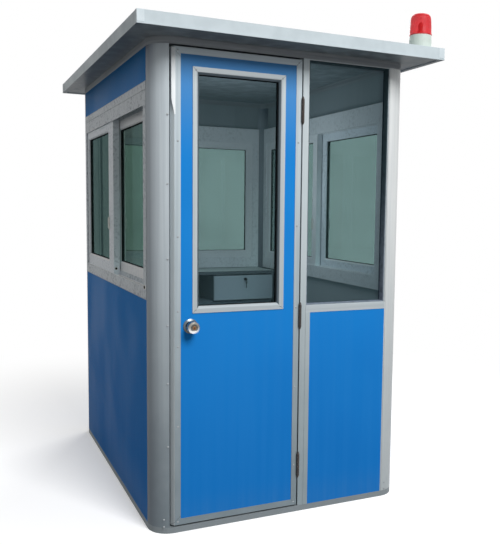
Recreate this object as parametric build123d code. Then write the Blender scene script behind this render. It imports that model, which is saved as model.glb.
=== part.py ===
"""Security guard booth: a small cabin of insulated steel panels between round aluminium corner posts.

Millimetres, +Z up. The origin is on the ground under the middle of the cabin, the front with the
door faces -Y and +X is to the right of somebody who faces that front.
"""
import os

from build123d import *

# Cabin envelope
WIDTH = 1290.0
DEPTH = 1770.0
SOFFIT_HEIGHT = 2203.0
WALL = 50.0

# Rails round the bottom and the top, and the floor between the bottom rails
BASE_HEIGHT = 28.0
TOP_RAIL_HEIGHT = 33.0
FLOOR_THICKNESS = 20.0

# Round corner posts
POST_RADIUS = 100.0
POST_FLANGE = 6.0
POST_GROOVE = 2.0
POST_GROOVE_DEPTH = 1.5
LATCH_POST_CUT = 30.0

# Flat roof: an insulated panel with a folded channel round its edge, hemmed along the bottom
ROOF_PANEL = 50.0
ROOF_SIDE_OVERHANG = 100.0
ROOF_END_OVERHANG = 160.0
ROOF_EDGE_SHEET = 3.0
ROOF_EDGE_FLANGE = 20.0
ROOF_HEM_HEIGHT = 7.0
ROOF_HEM_PROUD = 1.5

# Two-track sliding windows in the left, right and rear walls
WINDOW_SILL_Z = 1060.0
UPPER_PANEL_HEIGHT = 150.0
FRAME_PROUD = 3.0
FRAME_EDGE = 2.0
LIP = 5.0
TRACK = 34.0
TRACK_RIB = 3.0
INNER_RIB = 7.0
SILL_LIP = 54.0
SILL_RIB = 72.0
SILL_TRACK = 48.0
HEAD_LIP = 100.0
HEAD_TRACK = 68.0
HEAD_GROOVE_DROP = 34.0
HEAD_GROOVE = 3.0
HEAD_GROOVE_DEPTH = 2.0
JAMB_LIP = 45.0
JAMB_TRACK = 35.0
SASH_THICKNESS = 32.0
SASH_RAIL = 70.0
SASH_STILE = 56.0
OUTER_MEETING_STILE = 130.0
OUTER_SASH_LAP = 48.0
INNER_MEETING_STILE = 62.0
INNER_SASH_LAP = 35.0
SASH_HEAD_GAP = 6.0
SASH_SIDE_GAP = 2.0
SASH_BEAD_FACE = 7.0
SASH_BEAD_DEPTH = 5.0
PANE = 5.0
PANE_REBATE = 10.0
PULL_SHARE = 0.327
PULL_LENGTH = 64.0
PULL_WIDTH = 16.0
PULL_PROUD = 7.0
PULL_EDGE = 3.0
PULL_INSET = 17.0

# Door leaf
DOOR_WIDTH = 621.0
DOOR_GAP = 8.0
DOOR_TOP_GAP = 9.0
DOOR_EDGE_FACE = 28.0
DOOR_EDGE_PROUD = 2.0
LATCH_BEVEL = 14.0
LATCH_BEVEL_DEPTH = 20.0
DOOR_WINDOW_SIDE = 84.0
DOOR_WINDOW_TOP = 78.0
DOOR_WINDOW_BOTTOM_Z = 1003.0
DOOR_TRIM_FACE = 30.0
DOOR_TRIM_PROUD = 3.0
DOOR_TRIM_WEB = 14.0
DOOR_TRIM_BEAD_FACE = 10.0
DOOR_TRIM_BEAD_DEPTH = 9.0
DOOR_PANE_REBATE = 6.0
DOOR_SWING_CLEARANCE = 6.0

# Stop behind the door, on its latch, head and hinge sides
STOP_THICKNESS = 12.0
STOP_LAP = 12.0
STOP_SEAT = 16.0

# Fixed light beside the door
MULLION_FACE = 29.0
FIXED_SILL_Z = 980.0
FIXED_SILL_HEIGHT = 32.0
FIXED_STRIP_FACE = 23.0
FIXED_TRIM_PROUD = 1.5
GLAZING_WALL = 4.0
GLAZING_SETBACK = 4.0
GLASS_INSIDE_SETBACK = 5.0

# Door hinges
HINGE_BOTTOM_INSET = 201.0
HINGE_TOP_INSET = 231.0
HINGE_MIDDLE_SHARE = 0.438
HINGE_LENGTH = 105.0
HINGE_KNUCKLES = 3
HINGE_RADIUS = 7.0
HINGE_PIN_RADIUS = 3.0
HINGE_PLATE = 2.5
HINGE_PLATE_DEPTH = 38.0
HINGE_AXIS_PROUD = 6.0
HINGE_TIP = 12.0
HINGE_TIP_RADIUS = 2.5
HINGE_PLAY = 0.4
PIN_PLAY = 0.1

# Knob lock
KNOB_BACKSET = 86.5
KNOB_Z = 946.0
ROSE_RADIUS = 33.0
ROSE_THICKNESS = 8.0
ROSE_EDGE = 3.0
ROSE_CROWN_RADIUS = 24.0
KNOB_RADIUS = 26.0
KNOB_NECK_RADIUS = 13.0
KNOB_NECK = 20.0
KNOB_SHOULDER = 8.0
KNOB_LENGTH = 34.0
KNOB_FACE_RADIUS = 20.0
KNOB_FACE_CROWN = 5.0
SPINDLE_RADIUS = 6.0
KNOB_PLAY = 0.2

# Desk along the rear wall
DESK_TOP_Z = 1057.0
DESK_TOP_THICKNESS = 22.0
DESK_DEPTH = 305.0
DESK_SIDE_GAP = 55.0
DESK_BOARD = 18.0
DESK_FRONT_SETBACK = 25.0
DESK_SHELF_Z = 840.0
DESK_END_INSET = 5.0

# Drawer at the right of the desk
DRAWER_FRONT_WIDTH = 414.0
DRAWER_FRONT_TOP_GAP = 8.0
DRAWER_FRONT_BOTTOM_GAP = 8.0
DRAWER_FRONT = 16.0
DRAWER_FRONT_GAP = 5.0
DRAWER_SIDE_GAP = 12.5
DRAWER_BOARD = 12.0
DRAWER_BOTTOM = 6.0
DRAWER_LIFT = 14.0
DRAWER_TOP_GAP = 27.0
DRAWER_BACK_GAP = 30.0
RUNNER_HEIGHT = 12.0
RUNNER_WIDTH = 8.0
RUNNER_RAIL_WIDTH = 7.5
RUNNER_PLAY = 0.3
RUNNER_SHARE = 0.45
LOCK_SHARE = 0.524
LOCK_DROP = 25.0
LOCK_RADIUS = 10.0
LOCK_PROUD = 5.0
KEY_THICKNESS = 2.4
KEY_STEM = 9.0
KEY_STEM_LENGTH = 10.0
KEY_BOW_RADIUS = 11.0
KEY_HOLE_RADIUS = 3.0

# Beacon on the front right corner of the roof
BEACON_RIGHT_INSET = 83.0
BEACON_FRONT_INSET = 88.0
BEACON_BASE_RADIUS = 54.0
BEACON_BASE_TOP_RADIUS = 52.5
BEACON_BASE_HEIGHT = 69.0
BEACON_COLLAR_HEIGHT = 6.0
BEACON_COLLAR_PLAY = 1.0
BEACON_RIM_RADIUS = 54.5
BEACON_RIM_HEIGHT = 7.0
BEACON_DOME_RADIUS = 53.0
BEACON_SHOULDER_RADIUS = 49.5
BEACON_SHOULDER_HEIGHT = 82.0
BEACON_BROW_RADIUS = 43.5
BEACON_BROW_HEIGHT = 96.0
BEACON_CROWN_RADIUS = 31.0
BEACON_DOME_HEIGHT = 104.0
BEACON_DOME_WALL = 3.0

CUT_OVERRUN = 1.0

half_width = WIDTH / 2
half_depth = DEPTH / 2
front_y = -half_depth
post_top = SOFFIT_HEIGHT - TOP_RAIL_HEIGHT
roof_top = SOFFIT_HEIGHT + ROOF_PANEL
window_head_z = post_top - UPPER_PANEL_HEIGHT

post_leg = POST_RADIUS + POST_FLANGE
latch_leg = post_leg - LATCH_POST_CUT
latch_x = -half_width + latch_leg
door_left = latch_x + DOOR_GAP
door_right = door_left + DOOR_WIDTH
mullion_left = door_right + DOOR_GAP
mullion_right = mullion_left + MULLION_FACE
right_post_x = half_width - post_leg
door_bottom = BASE_HEIGHT + DOOR_GAP
door_top = post_top - DOOR_TOP_GAP
door_front_y = front_y - DOOR_EDGE_PROUD
door_back_y = front_y + WALL + DOOR_EDGE_PROUD
stop_front_y = door_back_y + DOOR_SWING_CLEARANCE
stop_back_y = stop_front_y + STOP_THICKNESS


def block(x, y, z):
    """A box between the low and high value of each axis."""
    size = [high - low for low, high in (x, y, z)]
    middle = [(low + high) / 2 for low, high in (x, y, z)]
    return Pos(*middle) * Box(*size)


def corner_block(sign_x, sign_y, leg_x, leg_y, z):
    """The box that holds one corner of the cabin's plan, as far as the post's two legs reach."""
    x = sorted((sign_x * half_width, sign_x * (half_width - leg_x)))
    y = sorted((sign_y * half_depth, sign_y * (half_depth - leg_y)))
    return block(x, y, z)


def wall_ring(z_low, z_high):
    """A ring of the wall's thickness with the posts' round corners."""
    outside = RectangleRounded(WIDTH, DEPTH, POST_RADIUS)
    inside = RectangleRounded(WIDTH - 2 * WALL, DEPTH - 2 * WALL, POST_RADIUS - WALL)
    return Pos(0, 0, z_low) * extrude(outside - inside, amount=z_high - z_low)


nodes = {}


# Base frame and floor

nodes["base_frame"] = wall_ring(0, BASE_HEIGHT)
floor_plan = RectangleRounded(WIDTH - 2 * WALL, DEPTH - 2 * WALL, POST_RADIUS - WALL)
nodes["floor_panel"] = Pos(0, 0, BASE_HEIGHT - FLOOR_THICKNESS) * extrude(floor_plan, amount=FLOOR_THICKNESS)


# Corner posts: lengths of one quarter-round section with a groove beside each flange, the latch
# post with a shorter front leg

def groove_span(sign, half):
    """Where a post's groove lies along a wall: at the foot of its flange, beside the round."""
    round_foot = half - POST_RADIUS
    return sorted((sign * round_foot, sign * (round_foot - POST_GROOVE)))


def groove_reach(sign, half):
    """How far a post's groove reaches into a wall's outer face."""
    return sorted((sign * (half - POST_GROOVE_DEPTH), sign * (half + CUT_OVERRUN)))


post_z = (BASE_HEIGHT, post_top)
post_ring = wall_ring(BASE_HEIGHT, post_top)
stop_latch_x = (latch_x - STOP_SEAT, door_left + STOP_LAP)
stop_hinge_x = (door_right - STOP_LAP, mullion_left + STOP_SEAT)
latch_stop_leg = block(stop_latch_x, (stop_front_y, stop_back_y), (BASE_HEIGHT, SOFFIT_HEIGHT))
for post, sign_x, sign_y in (
    ("post_front_left", -1, -1),
    ("post_front_right", 1, -1),
    ("post_rear_left", -1, 1),
    ("post_rear_right", 1, 1),
):
    is_latch_post = sign_x < 0 and sign_y < 0
    leg_x = latch_leg if is_latch_post else post_leg
    length = post_ring & corner_block(sign_x, sign_y, leg_x, post_leg, post_z)
    length -= block(groove_reach(sign_x, half_width), groove_span(sign_y, half_depth), post_z)
    if is_latch_post:
        length -= latch_stop_leg
    else:
        length -= block(groove_span(sign_x, half_width), groove_reach(sign_y, half_depth), post_z)
    nodes[post] = length


# Top rail and flat roof: the edge channel's web stands outside the panel, its flanges above and below it

nodes["top_rail"] = wall_ring(post_top, SOFFIT_HEIGHT) - latch_stop_leg
roof_half_x = half_width + ROOF_SIDE_OVERHANG
roof_half_y = half_depth + ROOF_END_OVERHANG
edge_bottom = SOFFIT_HEIGHT - ROOF_EDGE_SHEET
edge_top = roof_top + ROOF_EDGE_SHEET
edge_inset = ROOF_HEM_PROUD + ROOF_EDGE_SHEET


def roof_slab(inset, z):
    """A slab of the roof's plan, drawn in by an inset all round."""
    half_x = roof_half_x - inset
    half_y = roof_half_y - inset
    return block((-half_x, half_x), (-half_y, half_y), z)


roof_panel = roof_slab(edge_inset, (SOFFIT_HEIGHT, roof_top))
nodes["roof_panel"] = roof_panel
roof_edge = roof_slab(ROOF_HEM_PROUD, (edge_bottom, edge_top))
roof_edge += roof_slab(0, (edge_bottom, edge_bottom + ROOF_HEM_HEIGHT))
roof_edge -= roof_slab(edge_inset + ROOF_EDGE_FLANGE, (edge_bottom - CUT_OVERRUN, edge_top + CUT_OVERRUN))
nodes["roof_edge"] = roof_edge - roof_panel


# Walls with sliding windows: built facing -Y with the outer face at y = 0, then turned into place

def window_frame(length):
    """A welded frame with a lip, two tracks with a rib between them, and an inner rib."""
    half = length / 2
    lip_back = LIP - FRAME_PROUD
    rib_front = lip_back + TRACK
    rib_back = rib_front + TRACK_RIB
    inner_front = rib_back + TRACK
    inner_back = inner_front + INNER_RIB
    frame = block((-half, half), (-FRAME_PROUD, inner_back), (WINDOW_SILL_Z, window_head_z))
    frame = chamfer(frame.faces().sort_by(Axis.Y)[0].edges(), FRAME_EDGE)
    clear_x = (JAMB_LIP - half, half - JAMB_LIP)
    track_x = (JAMB_TRACK - half, half - JAMB_TRACK)
    lip_z = (WINDOW_SILL_Z + SILL_LIP, window_head_z - HEAD_LIP)
    rib_z = (WINDOW_SILL_Z + SILL_RIB, window_head_z - HEAD_LIP)
    track_z = (WINDOW_SILL_Z + SILL_TRACK, window_head_z - HEAD_TRACK)
    frame -= block(clear_x, (-FRAME_PROUD - CUT_OVERRUN, lip_back), lip_z)
    frame -= block(track_x, (lip_back, rib_front), track_z)
    frame -= block(clear_x, (rib_front, rib_back), rib_z)
    frame -= block(track_x, (rib_back, inner_front), track_z)
    frame -= block(clear_x, (inner_front, inner_back + CUT_OVERRUN), rib_z)
    groove_z = (window_head_z - HEAD_GROOVE_DROP - HEAD_GROOVE, window_head_z - HEAD_GROOVE_DROP)
    groove_y = (-FRAME_PROUD - CUT_OVERRUN, HEAD_GROOVE_DEPTH - FRAME_PROUD)
    frame -= block((-half - CUT_OVERRUN, half + CUT_OVERRUN), groove_y, groove_z)
    return frame


def with_beads(frame, bead_face, bead_depth):
    """The frame with its front and back faces sloped down to its opening, as glazing beads are."""
    for end in (0, -1):
        face = frame.faces().sort_by(Axis.Y)[end]
        rim = face.edges() - face.outer_wire().edges()
        frame = chamfer(rim, bead_face, bead_depth, reference=face)
    return frame


def sash_span_z():
    """The heights of a sash's foot and head, which stand in the frame's tracks."""
    return WINDOW_SILL_Z + SILL_TRACK, window_head_z - HEAD_TRACK - SASH_HEAD_GAP


def meeting_stile_span(side, is_outer):
    """Where a sash's meeting stile ends past the wall's middle, and where its pane's opening starts."""
    lap = OUTER_SASH_LAP if is_outer else INNER_SASH_LAP
    stile = OUTER_MEETING_STILE if is_outer else INNER_MEETING_STILE
    return -side * lap, side * (stile - lap)


def sash_and_pane(length, side, is_outer):
    """One sash and its pane, in a wall's left (-1) or right (1) half and in its outer or inner track."""
    track_front = LIP - FRAME_PROUD
    meeting_edge, opening_edge = meeting_stile_span(side, is_outer)
    if not is_outer:
        track_front += TRACK + TRACK_RIB
    front = track_front + (TRACK - SASH_THICKNESS) / 2
    back = front + SASH_THICKNESS
    jamb_edge = length / 2 - JAMB_TRACK - SASH_SIDE_GAP
    sash_x = sorted((side * jamb_edge, meeting_edge))
    sash_z = sash_span_z()
    opening_x = sorted((side * (jamb_edge - SASH_STILE), opening_edge))
    opening_z = (sash_z[0] + SASH_RAIL, sash_z[1] - SASH_RAIL)
    sash = block(sash_x, (front, back), sash_z)
    sash -= block(opening_x, (front - CUT_OVERRUN, back + CUT_OVERRUN), opening_z)
    sash = with_beads(sash, SASH_BEAD_FACE, SASH_BEAD_DEPTH)
    pane_x = (opening_x[0] - PANE_REBATE, opening_x[1] + PANE_REBATE)
    pane_z = (opening_z[0] - PANE_REBATE, opening_z[1] + PANE_REBATE)
    middle = (front + back) / 2
    pane = block(pane_x, (middle - PANE / 2, middle + PANE / 2), pane_z)
    return sash - pane, pane


def sash_pull(side, is_outer):
    """A finger pull on the meeting stile: outside on the outer sash, inside on the inner one."""
    outer_face = LIP - FRAME_PROUD + (TRACK - SASH_THICKNESS) / 2
    inner_face = outer_face + TRACK + TRACK_RIB + SASH_THICKNESS
    pull_y = (outer_face - PULL_PROUD, outer_face) if is_outer else (inner_face, inner_face + PULL_PROUD)
    middle_x = meeting_stile_span(side, is_outer)[1] - side * PULL_INSET
    sash_bottom, sash_top = sash_span_z()
    middle_z = sash_bottom + PULL_SHARE * (sash_top - sash_bottom)
    pull_x = (middle_x - PULL_WIDTH / 2, middle_x + PULL_WIDTH / 2)
    pull = block(pull_x, pull_y, (middle_z - PULL_LENGTH / 2, middle_z + PULL_LENGTH / 2))
    return chamfer(pull.faces().sort_by(Axis.Y)[0 if is_outer else -1].edges(), PULL_EDGE)


side_length = DEPTH - 2 * post_leg
rear_length = WIDTH - 2 * post_leg
pulls = []
for wall, turn, reach, length, outer_side in (
    ("left", -90, half_width, side_length, -1),
    ("right", 90, half_width, side_length, -1),
    ("rear", 180, half_depth, rear_length, 1),
):
    place = Rot(0, 0, turn) * Pos(0, -reach, 0)
    span = (-length / 2, length / 2)
    outer_sash, outer_pane = sash_and_pane(length, outer_side, True)
    inner_sash, inner_pane = sash_and_pane(length, -outer_side, False)
    nodes[f"{wall}_lower_panel"] = place * block(span, (0, WALL), (BASE_HEIGHT, WINDOW_SILL_Z))
    nodes[f"{wall}_upper_panel"] = place * block(span, (0, WALL), (window_head_z, post_top))
    nodes[f"{wall}_window_frame"] = place * window_frame(length)
    nodes[f"{wall}_outer_sash"] = place * outer_sash
    nodes[f"{wall}_inner_sash"] = place * inner_sash
    nodes[f"{wall}_window_panes"] = Compound(children=[place * outer_pane, place * inner_pane])
    pulls += [place * sash_pull(outer_side, True), place * sash_pull(-outer_side, False)]
nodes["sash_pulls"] = Compound(children=pulls)


# Front wall beside the door: mullion, fixed panel below and fixed light above

wall_y = (front_y, front_y + WALL)
trim_y = (front_y - FIXED_TRIM_PROUD, front_y + WALL)
strip_right = mullion_right + FIXED_STRIP_FACE
light_bottom = FIXED_SILL_Z + FIXED_SILL_HEIGHT
mullion_x = (mullion_left, mullion_right)
nodes["door_mullion"] = block(mullion_x, (front_y, stop_front_y), (BASE_HEIGHT, post_top))
nodes["fixed_panel"] = block((strip_right, right_post_x), wall_y, (BASE_HEIGHT, FIXED_SILL_Z))
nodes["fixed_panel_strip"] = block((mullion_right, strip_right), trim_y, (BASE_HEIGHT, FIXED_SILL_Z))
nodes["fixed_light_sill"] = block((mullion_right, right_post_x), trim_y, (FIXED_SILL_Z, light_bottom))

glazing_y = (front_y + GLAZING_SETBACK, front_y + WALL)
glass_x = (mullion_right + GLAZING_WALL, right_post_x - GLAZING_WALL)
glass_z = (light_bottom + GLAZING_WALL, post_top - GLAZING_WALL)
glass_back_y = front_y + WALL - GLASS_INSIDE_SETBACK
glazing = block((mullion_right, right_post_x), glazing_y, (light_bottom, post_top))
glazing -= block(glass_x, (front_y, front_y + WALL + CUT_OVERRUN), glass_z)
nodes["fixed_light_glazing"] = glazing
nodes["fixed_light_glass"] = block(glass_x, (glass_back_y - PANE, glass_back_y), glass_z)


# Stop behind the door: two legs and a head bar in one flat frame

stop_y = (stop_front_y, stop_back_y)
door_stop = latch_stop_leg
door_stop += block(stop_hinge_x, stop_y, (BASE_HEIGHT, SOFFIT_HEIGHT))
door_stop += block((stop_latch_x[0], stop_hinge_x[1]), stop_y, (door_top - STOP_LAP, SOFFIT_HEIGHT))
nodes["door_stop"] = door_stop


# Door: insulated leaf in an aluminium edge frame with a bevelled latch edge, and a trimmed window

door_x = (door_left, door_right)
door_y = (door_front_y, door_back_y)
door_z = (door_bottom, door_top)
leaf_x = (door_left + LATCH_BEVEL + DOOR_EDGE_FACE, door_right - DOOR_EDGE_FACE)
leaf_z = (door_bottom + DOOR_EDGE_FACE, door_top - DOOR_EDGE_FACE)
edge_frame = block(door_x, door_y, door_z)
edge_frame -= block(leaf_x, (door_front_y - CUT_OVERRUN, door_back_y + CUT_OVERRUN), leaf_z)
bevel_corner = Pos(door_left, door_front_y) * Polygon(
    (-CUT_OVERRUN, -CUT_OVERRUN),
    (LATCH_BEVEL, -CUT_OVERRUN),
    (LATCH_BEVEL, 0),
    (0, LATCH_BEVEL_DEPTH),
    (-CUT_OVERRUN, LATCH_BEVEL_DEPTH),
    align=None,
)
edge_frame -= Pos(0, 0, door_bottom - CUT_OVERRUN) * extrude(
    bevel_corner, amount=door_top - door_bottom + 2 * CUT_OVERRUN
)
nodes["door_edge_frame"] = edge_frame

trim_x = (leaf_x[0] + DOOR_WINDOW_SIDE - DOOR_TRIM_FACE, leaf_x[1] - DOOR_WINDOW_SIDE + DOOR_TRIM_FACE)
trim_z = (DOOR_WINDOW_BOTTOM_Z, door_top - DOOR_WINDOW_TOP)
cutout_x = (trim_x[0] + DOOR_TRIM_FACE - DOOR_TRIM_WEB, trim_x[1] - DOOR_TRIM_FACE + DOOR_TRIM_WEB)
cutout_z = (trim_z[0] + DOOR_TRIM_FACE - DOOR_TRIM_WEB, trim_z[1] - DOOR_TRIM_FACE + DOOR_TRIM_WEB)
sight_x = (cutout_x[0] + DOOR_TRIM_WEB, cutout_x[1] - DOOR_TRIM_WEB)
sight_z = (cutout_z[0] + DOOR_TRIM_WEB, cutout_z[1] - DOOR_TRIM_WEB)
cut_y = (front_y - DOOR_TRIM_PROUD - CUT_OVERRUN, front_y + WALL + DOOR_TRIM_PROUD + CUT_OVERRUN)
knob_x = door_left + KNOB_BACKSET
knob_place = Pos(knob_x, front_y, KNOB_Z) * Rot(90, 0, 0)
spindle_place = knob_place * Pos(0, 0, -WALL / 2)
spindle_bore = spindle_place * Cylinder(SPINDLE_RADIUS + PIN_PLAY, WALL + 2 * CUT_OVERRUN)
leaf = block(leaf_x, wall_y, leaf_z) - block(cutout_x, cut_y, cutout_z)
nodes["door_leaf"] = leaf - spindle_bore

trim = block(cutout_x, wall_y, cutout_z)
trim += block(trim_x, (front_y - DOOR_TRIM_PROUD, front_y), trim_z)
trim += block(trim_x, (front_y + WALL, front_y + WALL + DOOR_TRIM_PROUD), trim_z)
trim = with_beads(trim - block(sight_x, cut_y, sight_z), DOOR_TRIM_BEAD_FACE, DOOR_TRIM_BEAD_DEPTH)
pane_middle_y = front_y + WALL / 2
pane_x = (sight_x[0] - DOOR_PANE_REBATE, sight_x[1] + DOOR_PANE_REBATE)
pane_z = (sight_z[0] - DOOR_PANE_REBATE, sight_z[1] + DOOR_PANE_REBATE)
door_glass = block(pane_x, (pane_middle_y - PANE / 2, pane_middle_y + PANE / 2), pane_z)
nodes["door_window_trim"] = trim - door_glass
nodes["door_glass"] = door_glass


# Hinges: two frame knuckles on a pin with the door's knuckle between them

hinge_x = (door_right + mullion_left) / 2
hinge_y = door_front_y - HINGE_AXIS_PROUD
knuckle = HINGE_LENGTH / HINGE_KNUCKLES
door_knuckle = knuckle - 2 * HINGE_PLAY
plate_y = (0, HINGE_AXIS_PROUD + DOOR_EDGE_PROUD + HINGE_PLATE_DEPTH)
frame_plate_x = (mullion_left - hinge_x - HINGE_PLATE, mullion_left - hinge_x)
door_plate_x = (door_right - hinge_x, door_right - hinge_x + HINGE_PLATE)
frame_hinges = []
door_hinges = []
for centre_z in (
    door_bottom + HINGE_BOTTOM_INSET,
    door_bottom + HINGE_MIDDLE_SHARE * (door_top - door_bottom),
    door_top - HINGE_TOP_INSET,
):
    at = Pos(hinge_x, hinge_y, centre_z)
    frame_half = Cylinder(HINGE_PIN_RADIUS, HINGE_LENGTH)
    for sign in (-1, 1):
        frame_half += Pos(0, 0, sign * knuckle) * Cylinder(HINGE_RADIUS, knuckle)
        z_span = sorted((sign * knuckle / 2, sign * HINGE_LENGTH / 2))
        frame_half += block(frame_plate_x, plate_y, z_span)
        tip = Cone(HINGE_RADIUS, HINGE_TIP_RADIUS, HINGE_TIP)
        tip_turn = 0 if sign > 0 else 180
        frame_half += Pos(0, 0, sign * (HINGE_LENGTH + HINGE_TIP) / 2) * Rot(tip_turn, 0, 0) * tip
    door_half = Cylinder(HINGE_RADIUS, door_knuckle)
    door_half += block(door_plate_x, plate_y, (-door_knuckle / 2, door_knuckle / 2))
    door_half -= Cylinder(HINGE_PIN_RADIUS + PIN_PLAY, HINGE_LENGTH)
    frame_hinges.append(at * frame_half)
    door_hinges.append(at * door_half)
nodes["frame_hinges"] = Compound(children=frame_hinges)
nodes["door_hinges"] = Compound(children=door_hinges)


# Knob lock: a rose on each face of the leaf, and two knobs on one spindle

def rose():
    """A domed rose with its back on z = 0 and its crown towards +Z."""
    profile = Polygon(
        (KNOB_NECK_RADIUS + KNOB_PLAY, 0),
        (ROSE_RADIUS, 0),
        (ROSE_RADIUS, ROSE_EDGE),
        (ROSE_CROWN_RADIUS, ROSE_THICKNESS),
        (KNOB_NECK_RADIUS + KNOB_PLAY, ROSE_THICKNESS),
        align=None,
    )
    return revolve(Plane.XZ * profile, axis=Axis.Z)


def knob():
    """A knob on its neck, with the neck's foot on z = 0 and the crowned face towards +Z."""
    body_foot = KNOB_NECK + KNOB_SHOULDER
    face = body_foot + KNOB_LENGTH
    outline = Polyline(
        (0, 0),
        (KNOB_NECK_RADIUS, 0),
        (KNOB_NECK_RADIUS, KNOB_NECK),
        (KNOB_RADIUS, body_foot),
        (KNOB_RADIUS, face - KNOB_FACE_CROWN),
        (KNOB_FACE_RADIUS, face),
        (0, face),
        (0, 0),
    )
    return revolve(Plane.XZ * make_face(outline), axis=Axis.Z)


outside = knob_place
inside = Pos(knob_x, front_y + WALL, KNOB_Z) * Rot(-90, 0, 0)
nodes["lock_roses"] = Compound(children=[outside * rose(), inside * rose()])
spindle = spindle_place * Cylinder(SPINDLE_RADIUS, WALL)
nodes["door_knob"] = outside * knob() + spindle + inside * knob()


# Desk along the rear wall: top, and a carcass of end boards, divider and shelf with drawer runners

wall_inside_y = half_depth - WALL
desk_front_y = wall_inside_y - DESK_DEPTH
carcass_front_y = desk_front_y + DESK_FRONT_SETBACK
desk_under_z = DESK_TOP_Z - DESK_TOP_THICKNESS
desk_half_width = half_width - WALL - DESK_SIDE_GAP
carcass_y = (carcass_front_y, wall_inside_y)
nodes["desk_top"] = block(
    (-desk_half_width, desk_half_width), (desk_front_y, wall_inside_y), (desk_under_z, DESK_TOP_Z)
)
end_outside = desk_half_width - DESK_END_INSET
end_inside = end_outside - DESK_BOARD
drawer_left = end_outside - DRAWER_FRONT_WIDTH
divider_right = drawer_left + DESK_BOARD
board_z = (BASE_HEIGHT, desk_under_z)
carcass = block((-end_outside, -end_inside), carcass_y, board_z)
carcass += block((end_inside, end_outside), carcass_y, board_z)
carcass += block((-end_inside, end_inside), carcass_y, (DESK_SHELF_Z, DESK_SHELF_Z + DESK_BOARD))
shelf_top = DESK_SHELF_Z + DESK_BOARD
carcass += block((drawer_left, divider_right), carcass_y, (shelf_top, desk_under_z))

drawer_bottom = shelf_top + DRAWER_LIFT
drawer_top = desk_under_z - DRAWER_TOP_GAP
runner_z = drawer_bottom + RUNNER_SHARE * (drawer_top - drawer_bottom)
ledge_z = (runner_z - RUNNER_HEIGHT, runner_z)
carcass += block((divider_right, divider_right + RUNNER_WIDTH), carcass_y, ledge_z)
carcass += block((end_inside - RUNNER_WIDTH, end_inside), carcass_y, ledge_z)
nodes["desk_carcass"] = carcass


# Drawer with its overlaid front, side rails and cam lock

front_z = (shelf_top + DRAWER_FRONT_BOTTOM_GAP, desk_under_z - DRAWER_FRONT_TOP_GAP)
drawer_front_y = carcass_front_y - DRAWER_FRONT_GAP - DRAWER_FRONT
box_front_y = drawer_front_y + DRAWER_FRONT
box_x = (divider_right + DRAWER_SIDE_GAP, end_inside - DRAWER_SIDE_GAP)
box_y = (box_front_y, wall_inside_y - DRAWER_BACK_GAP)
drawer = block((drawer_left, end_outside), (drawer_front_y, box_front_y), front_z)
drawer += block(box_x, box_y, (drawer_bottom, drawer_top))
hollow_x = (box_x[0] + DRAWER_BOARD, box_x[1] - DRAWER_BOARD)
hollow_y = (box_front_y, box_y[1] - DRAWER_BOARD)
drawer -= block(hollow_x, hollow_y, (drawer_bottom + DRAWER_BOTTOM, drawer_top + CUT_OVERRUN))
rail_z = (runner_z + RUNNER_PLAY, runner_z + RUNNER_PLAY + RUNNER_HEIGHT)
rail_y = (carcass_front_y, box_y[1])
drawer += block((box_x[0] - RUNNER_RAIL_WIDTH, box_x[0]), rail_y, rail_z)
drawer += block((box_x[1], box_x[1] + RUNNER_RAIL_WIDTH), rail_y, rail_z)
nodes["desk_drawer"] = drawer

lock_x = drawer_left + LOCK_SHARE * DRAWER_FRONT_WIDTH
lock_place = Pos(lock_x, drawer_front_y, front_z[1] - LOCK_DROP) * Rot(90, 0, 0)
lock = Pos(0, 0, LOCK_PROUD / 2) * Cylinder(LOCK_RADIUS, LOCK_PROUD)
stem_z = (LOCK_PROUD, LOCK_PROUD + KEY_STEM_LENGTH)
key_x = (-KEY_THICKNESS / 2, KEY_THICKNESS / 2)
lock += block(key_x, (-KEY_STEM / 2, KEY_STEM / 2), stem_z)
bow = Cylinder(KEY_BOW_RADIUS, KEY_THICKNESS) - Cylinder(KEY_HOLE_RADIUS, KEY_THICKNESS + 2 * CUT_OVERRUN)
lock += Pos(0, 0, LOCK_PROUD + KEY_STEM_LENGTH + KEY_BOW_RADIUS - KEY_THICKNESS) * Rot(0, 90, 0) * bow
nodes["drawer_lock"] = lock_place * lock


# Beacon: a tapered foot with a collar, and a hollow rimmed dome

beacon_place = Pos(roof_half_x - BEACON_RIGHT_INSET, BEACON_FRONT_INSET - roof_half_y, roof_top)
foot = Cone(BEACON_BASE_RADIUS, BEACON_BASE_TOP_RADIUS, BEACON_BASE_HEIGHT)
foot = Pos(0, 0, BEACON_BASE_HEIGHT / 2) * foot
collar_z = BEACON_BASE_HEIGHT + BEACON_COLLAR_HEIGHT / 2
dome_bore = BEACON_DOME_RADIUS - BEACON_DOME_WALL
foot += Pos(0, 0, collar_z) * Cylinder(dome_bore - BEACON_COLLAR_PLAY, BEACON_COLLAR_HEIGHT)
nodes["beacon_base"] = beacon_place * foot

dome_outline = Polygon(
    (dome_bore, 0),
    (BEACON_RIM_RADIUS, 0),
    (BEACON_RIM_RADIUS, BEACON_RIM_HEIGHT),
    (BEACON_DOME_RADIUS, BEACON_RIM_HEIGHT),
    (BEACON_SHOULDER_RADIUS, BEACON_SHOULDER_HEIGHT),
    (BEACON_BROW_RADIUS, BEACON_BROW_HEIGHT),
    (BEACON_CROWN_RADIUS, BEACON_DOME_HEIGHT),
    (0, BEACON_DOME_HEIGHT),
    (0, BEACON_DOME_HEIGHT - BEACON_DOME_WALL),
    (BEACON_CROWN_RADIUS - BEACON_DOME_WALL, BEACON_DOME_HEIGHT - BEACON_DOME_WALL),
    (BEACON_BROW_RADIUS - BEACON_DOME_WALL, BEACON_BROW_HEIGHT - BEACON_DOME_WALL),
    (BEACON_SHOULDER_RADIUS - BEACON_DOME_WALL, BEACON_SHOULDER_HEIGHT),
    align=None,
)
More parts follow.
